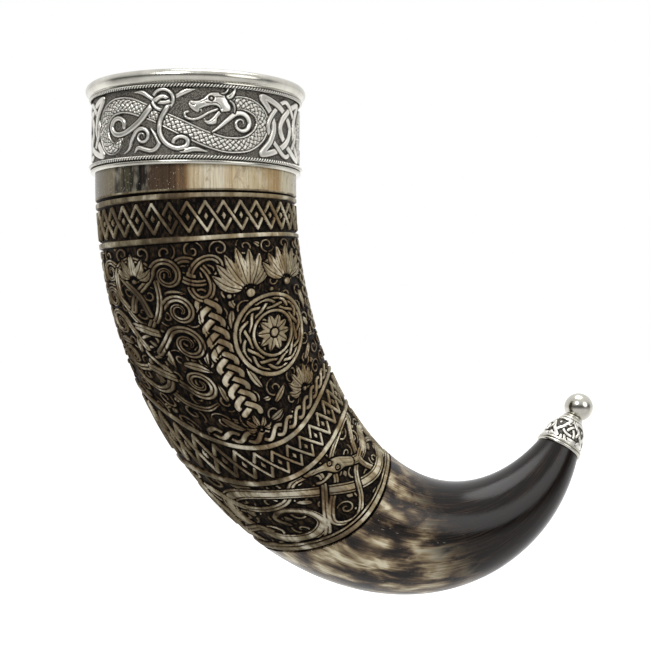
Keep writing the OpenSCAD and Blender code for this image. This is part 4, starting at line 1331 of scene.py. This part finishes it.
def makeCollarBand():
    cols, rows = 960, 92
    high = collar["friezeTop"] - collar["friezeFoot"]
    board = Board(frieze["width"], high, step=0.1, gap=0.35)
    drawSerpent(board)
    drawTallKnot(board, collar["knotU"])
    drawSerpentHead(board)
    a = turnsOf(cols)
    v = np.linspace(0, high, rows)[:, None] + 0 * a
    u = np.interp(a * collar["outerR"], frieze["around"], frieze["board"]) + 0 * v
    height = sample(board, board.relief, u, v)
    grooveR = collar["wireR"] - collar["wireD"] / 2 - collar["wireGap"]
    head = [(collar["topZ"], grooveR, 1), (collar["friezeTop"], grooveR, 1)]
    foot = [(collar["friezeFoot"], grooveR, 1), (collar["footZ"], grooveR, 1),
            (collar["footZ"], collar["innerR"], 1), (collar["topZ"], collar["innerR"], 1)]
    z, r, stain = drum(head, collar["friezeTop"] - v, collar["outerR"] - collar["emboss"] * (1 - height),
                       sample(board, stainOf(board), u, v), foot)
    points = np.stack([r * np.sin(a), -r * np.cos(a), z], -1)
    first, last = len(head), len(head) + rows
    folds = list(range(first + 1)) + list(range(last - 1, len(points)))
    mesh = skin("collar_frieze", points, True, folds, stain=stain)
    addPiece("collar_frieze", mesh, castMetal, "antiqued_metal", "collar_band")


# Two strands laid round each other along a ring, darkened in the lay between them by patina and painted shade
def twistedWire(name, nodeName, height):
    a = np.linspace(0, 2 * math.pi, rope["twists"] * rope["perTwist"], endpoint=False)
    turn = np.linspace(0, 2 * math.pi, rope["rows"], endpoint=False)[:, None]
    lay = np.abs(np.cos(turn - a * rope["twists"]))
    thick = collar["wireD"] / 2 * np.maximum(lay ** rope["fullness"], rope["least"])
    r = collar["wireR"] + thick * np.cos(turn)
    points = np.stack([r * np.sin(a), -r * np.cos(a), height + thick * np.sin(turn)], -1)
    mesh = skin(name, points, True, [], stain=smooth((rope["stainAt"] - lay) / rope["stainSoft"]))
    addPiece(name, mesh, castMetal, "antiqued_metal", nodeName)


def arc(x, y, r, start, end, steps=16):
    return polar(x, y, r, np.radians(np.linspace(start, end, steps))).tolist()


# Flat inside, above and below, and half round outside
def beadProfile(innerR, outerR, footZ, topZ, steps=16):
    r = (topZ - footZ) / 2
    return [(innerR, footZ), (innerR, topZ)] + arc(outerR - r, topZ - r, r, 90, -90, steps)


# A closed profile of radii and heights in polished metal, spun round the collar's axis or the tip's
def spun(name, nodeName, profile, place=Matrix(), steps=192):
    crease = math.radians(40)
    bm = bmesh.new()
    corners = [bm.verts.new((r * mm, 0, z * mm)) for r, z in profile]
    rim = [bm.edges.new((one, two)) for one, two in zip(corners, corners[1:] + corners[:1])]
    bmesh.ops.spin(bm, geom=corners + rim, cent=(0, 0, 0), axis=(0, 0, 1), angle=2 * math.pi, steps=steps,
                   use_merge=True)
    bmesh.ops.remove_doubles(bm, verts=bm.verts, dist=mergeDistance)
    bmesh.ops.recalc_face_normals(bm, faces=bm.faces)
    bmesh.ops.transform(bm, matrix=place, verts=bm.verts)
    mesh = bpy.data.meshes.new(name)
    bm.to_mesh(mesh)
    bm.free()
    mesh.shade_smooth()
    mesh.set_sharp_from_angle(angle=crease)
    addPiece(name, mesh, polishedMetal, "polished_metal", nodeName)


makeCollarBand()
twistedWire("upper_rope", "upper_wire", collar["upperWireZ"])
twistedWire("lower_rope", "lower_wire", collar["lowerWireZ"])

lip = dict(innerR=32.09, bandInR=36.55, outerR=40.0, beadR=2.3, crownZ=1.6, edgeR=0.5, edgeDrop=0.3,
           filletR=38.45, filletZ=-2.9, footZ=-3.3, gap=0.04)
edgeZ = lip["crownZ"] - lip["edgeDrop"] - lip["edgeR"]
lipProfile = [(lip["innerR"], lip["gap"])]
lipProfile += arc(lip["innerR"] + lip["edgeR"], edgeZ, lip["edgeR"], 180, 95, 8)
lipProfile += arc(lip["outerR"] - lip["beadR"], lip["crownZ"] - lip["beadR"], lip["beadR"], 95, -50, 28)
lipProfile += [(lip["filletR"], lip["filletZ"]), (lip["filletR"], lip["footZ"]),
               (lip["bandInR"], lip["footZ"]), (lip["bandInR"], lip["gap"])]
spun("rolled_lip", "rim_lip", lipProfile)

footBead = dict(innerR=36.55, outerR=38.2, footZ=-30.6, topZ=-28.85, steps=20)
spun("collar_foot_bead", "foot_bead", beadProfile(**footBead))

sleeve = dict(outerR=32.85, boreR=32.05, depth=22.0, round=0.25, plainTo=2.0)
sleeveProfile = [(sleeve["outerR"], 0), (sleeve["outerR"], -sleeve["depth"])]
sleeveProfile += arc(sleeve["boreR"] + sleeve["round"], sleeve["round"] - sleeve["depth"], sleeve["round"],
                     270, 180, 6)
sleeveProfile += [(sleeve["boreR"], -sleeve["plainTo"]), (sleeve["boreR"], 0)]
spun("inner_sleeve", "mouth_sleeve", sleeveProfile)
print("collar made")


# Tip: the cap and its rings share one axis, which leaves the horn's end
tip = dict(bodyR=8.15, topR=4.2, bodyZ=2.28, topZ=13.2, fullness=2.2, emboss=0.5, skirtR=7.95, seatR=7.05,
           seatEndR=4.95, seatZ=9.35, studR=1.54, gap=0.04, repeats=4, strap=1.6, margin=1.6, drop=1.2,
           topRim=1.0, footRim=0.35, rimSoft=0.2)
tipTurn, tipLean = (float(x) for x in bearings(np.array(horn["run"])))
tipPlace = (Matrix.Translation(Vector(centreLine[-1] * mm)) @ Matrix.Rotation(math.pi - tipTurn, 4, "Y")
            @ Matrix.Rotation(-tipLean, 4, "X"))


def makeTipCap():
    cols, rows = 420, 76
    high = tip["topZ"] - tip["bodyZ"]
    board = Board(2 * math.pi * tip["bodyR"], high, step=0.1, gap=0.3)
    drawTriangles(board, high - tip["margin"], tip["repeats"], tip["strap"])
    a = turnsOf(cols)
    t = np.linspace(0, 1, rows)[:, None] + 0 * a
    bodyR = tip["bodyR"] - (tip["bodyR"] - tip["topR"]) * t ** tip["fullness"]
    v = high * (1 - t) - tip["drop"]
    u = a * tip["bodyR"] + 0 * t
    height = np.where(v > 0, sample(board, board.relief, u, v), 0)
    stain = np.where(v > 0, sample(board, stainOf(board), u, v), 1)
    rims = [smooth(inside / tip["rimSoft"] + 0.5)
            for inside in (t * high - high + tip["topRim"], tip["footRim"] - t * high)]
    height, stain = joined(height, stain, *rims)
    lower = [(tip["gap"], tip["seatR"], 1), (tip["gap"], tip["skirtR"], 1), (tip["bodyZ"], tip["skirtR"], 1)]
    upper = [(tip["topZ"], tip["studR"], 0), (tip["seatZ"], tip["studR"], 0),
             (tip["seatZ"], tip["seatEndR"], 0)]
    z, r, stain = drum(lower, tip["bodyZ"] + high * t, bodyR - tip["emboss"] * (1 - height), stain, upper)
    points = np.stack([r * np.cos(a), r * np.sin(a), z], -1)
    first, last = len(lower), len(lower) + rows
    folds = list(range(first + 1)) + list(range(last - 1, len(points)))
    mesh = skin("knotwork_cap", points, True, folds, stain=stain)
    mesh.transform(tipPlace)
    addPiece("knotwork_cap", mesh, castMetal, "antiqued_metal", "tip_cap")


makeTipCap()
beads = dict(baseR=8.9, baseInR=7.99, baseTop=1.4, wireZ=1.84, wireD=0.8, neckZ=13.24, neckH=1.1, neckR=4.0)
baseProfile = beadProfile(beads["baseInR"], beads["baseR"], tip["gap"], beads["baseTop"])
spun("cap_base_bead", "base_bead", baseProfile, tipPlace)
wireR = beads["wireD"] / 2
spun("cap_base_wire", "base_wire", arc(beads["baseInR"] + wireR, beads["wireZ"], wireR, 0, 345, 24), tipPlace)
neckProfile = beadProfile(tip["studR"], beads["neckR"], beads["neckZ"], beads["neckZ"] + beads["neckH"])
spun("finial_ring", "neck_ring", neckProfile, tipPlace)

ball = dict(r=5.5, footR=2.8, footZ=14.38, boreDepth=5.0)
ballRise = math.sqrt(ball["r"] ** 2 - ball["footR"] ** 2)
ballFoot = -math.degrees(math.asin(ballRise / ball["r"]))
boreZ = ball["footZ"] + ball["boreDepth"]
ballProfile = arc(0, ball["footZ"] + ballRise, ball["r"], ballFoot, 90, 40)
ballProfile += [(0, boreZ), (tip["studR"], boreZ), (tip["studR"], ball["footZ"])]
spun("finial_ball", "ball_finial", ballProfile, tipPlace, steps=96)

# The hidden solids stay as they are, in their own finishes
for nodeName, finish in (("mouth_bedding", beddingFinish), ("cap_bedding", beddingFinish),
                         ("finial_stud", steelFinish)):
    kept = bpy.data.objects[nodeName]
    kept.data.materials.clear()
    kept.data.materials.append(finish)
print("tip made")


# Stage: a pale floor well below the horn, a white surround, three soft lamps and the camera
stage = dict(floorZ=-0.285, floorSize=12.0, floorTone=0.86, floorGlow=0.75, ambient=0.44, behind=(-0.1, 0.35),
             roomAt=(0.02, 0.2, 0.5, 0.8), room=(0.22, 0.11, 0.74, 1.0), aim=(0.05, 0.0, -0.08),
             camera=(0.0472, -0.468, -0.085), lens=70.6, sensor=36.0)
lamps = dict(keyLamp=((-0.3, -0.8, 0.62), 0.5, 5.0), fillLamp=((0.75, -0.55, 0.25), 0.6, 1.8),
             topLamp=((0.15, 0.1, 0.9), 0.7, 4.0))


# What the camera sees straight away or through something clear, and what is seen in a reflection
def seenBy(tree):
    path = node(tree, "ShaderNodeLightPath", {}).outputs
    return sums(tree, "MAXIMUM", path["Is Camera Ray"], path["Is Transmission Ray"]), path["Is Glossy Ray"]


# How far a place or a direction lies behind the horn
def behindHorn(tree, vector):
    parts = node(tree, "ShaderNodeSeparateXYZ", {0: vector}).outputs
    return spread(tree, parts[1], *stage["behind"])


def makeFloor():
    bm = bmesh.new()
    bmesh.ops.create_grid(bm, x_segments=1, y_segments=1, size=stage["floorSize"] / 2)
    bmesh.ops.translate(bm, vec=(0, 0, stage["floorZ"]), verts=bm.verts)
    mesh = bpy.data.meshes.new("floor")
    bm.to_mesh(mesh)
    bm.free()
    floor = addObject("floor", mesh)
    made, tree, shader = newFinish("floorWhite")
    look(tree, shader, (stage["floorTone"],) * 3 + (1,), rough=0.9)
    seen, reflected = seenBy(tree)
    reflected = sums(tree, "MULTIPLY", reflected, behindHorn(tree, objectPlace(tree)))
    strength = sums(tree, "MULTIPLY", sums(tree, "MAXIMUM", seen, reflected), stage["floorGlow"])
    glow = node(tree, "ShaderNodeEmission", {"Color": (1, 1, 1, 1), "Strength": strength})
    both = node(tree, "ShaderNodeAddShader", {0: shader.outputs[0], 1: glow.outputs[0]})
    tree.links.new(both.outputs[0], tree.nodes["Material Output"].inputs["Surface"])
    mesh.materials.append(made)


# The surround: white to the camera, shaded on the camera's side in reflections, and else a plain light
def makeSurround():
    world = bpy.data.worlds.new("studio")
    bpy.context.scene.world = world
    world.use_nodes = True
    tree = world.node_tree
    light = tree.nodes["Background"]
    light.inputs["Color"].default_value = (1, 1, 1, 1)
    seen, reflected = seenBy(tree)
    way = node(tree, "ShaderNodeTexCoord", {}).outputs["Generated"]
    up = node(tree, "ShaderNodeSeparateXYZ", {0: way}).outputs[2]
    steps = zip(stage["roomAt"], stage["room"])
    room = ramp(tree, up, [(at, (level, level, level, 1)) for at, level in steps])
    room = node(tree, "ShaderNodeMix", {0: behindHorn(tree, way), 2: room, 3: 1.0}).outputs[0]
    level = node(tree, "ShaderNodeMix", {0: reflected, 2: stage["ambient"], 3: room}).outputs[0]
    level = node(tree, "ShaderNodeMix", {0: seen, 2: level, 3: 1.0}).outputs[0]
    tree.links.new(level, light.inputs["Strength"])


def makeLamps():
    for name, (place, size, power) in lamps.items():
        light = bpy.data.lights.new(name, "AREA")
        light.shape = "DISK"
        light.size = size
        light.energy = power
        lamp = addObject(name, light)
        lamp.location = place
        lamp.rotation_euler = (Vector(stage["aim"]) - Vector(place)).to_track_quat("-Z", "Y").to_euler()


def makeCamera():
    lens = bpy.data.cameras.new("camera")
    lens.lens = stage["lens"]
    lens.sensor_width = stage["sensor"]
    lens.clip_start = 0.01
    camera = addObject("camera", lens)
    camera.location = stage["camera"]
    camera.rotation_euler = (math.pi / 2, 0, 0)
    bpy.context.scene.camera = camera


makeFloor()
makeSurround()
makeLamps()
makeCamera()
bpy.context.scene.view_settings.view_transform = "Standard"
print("stage set")
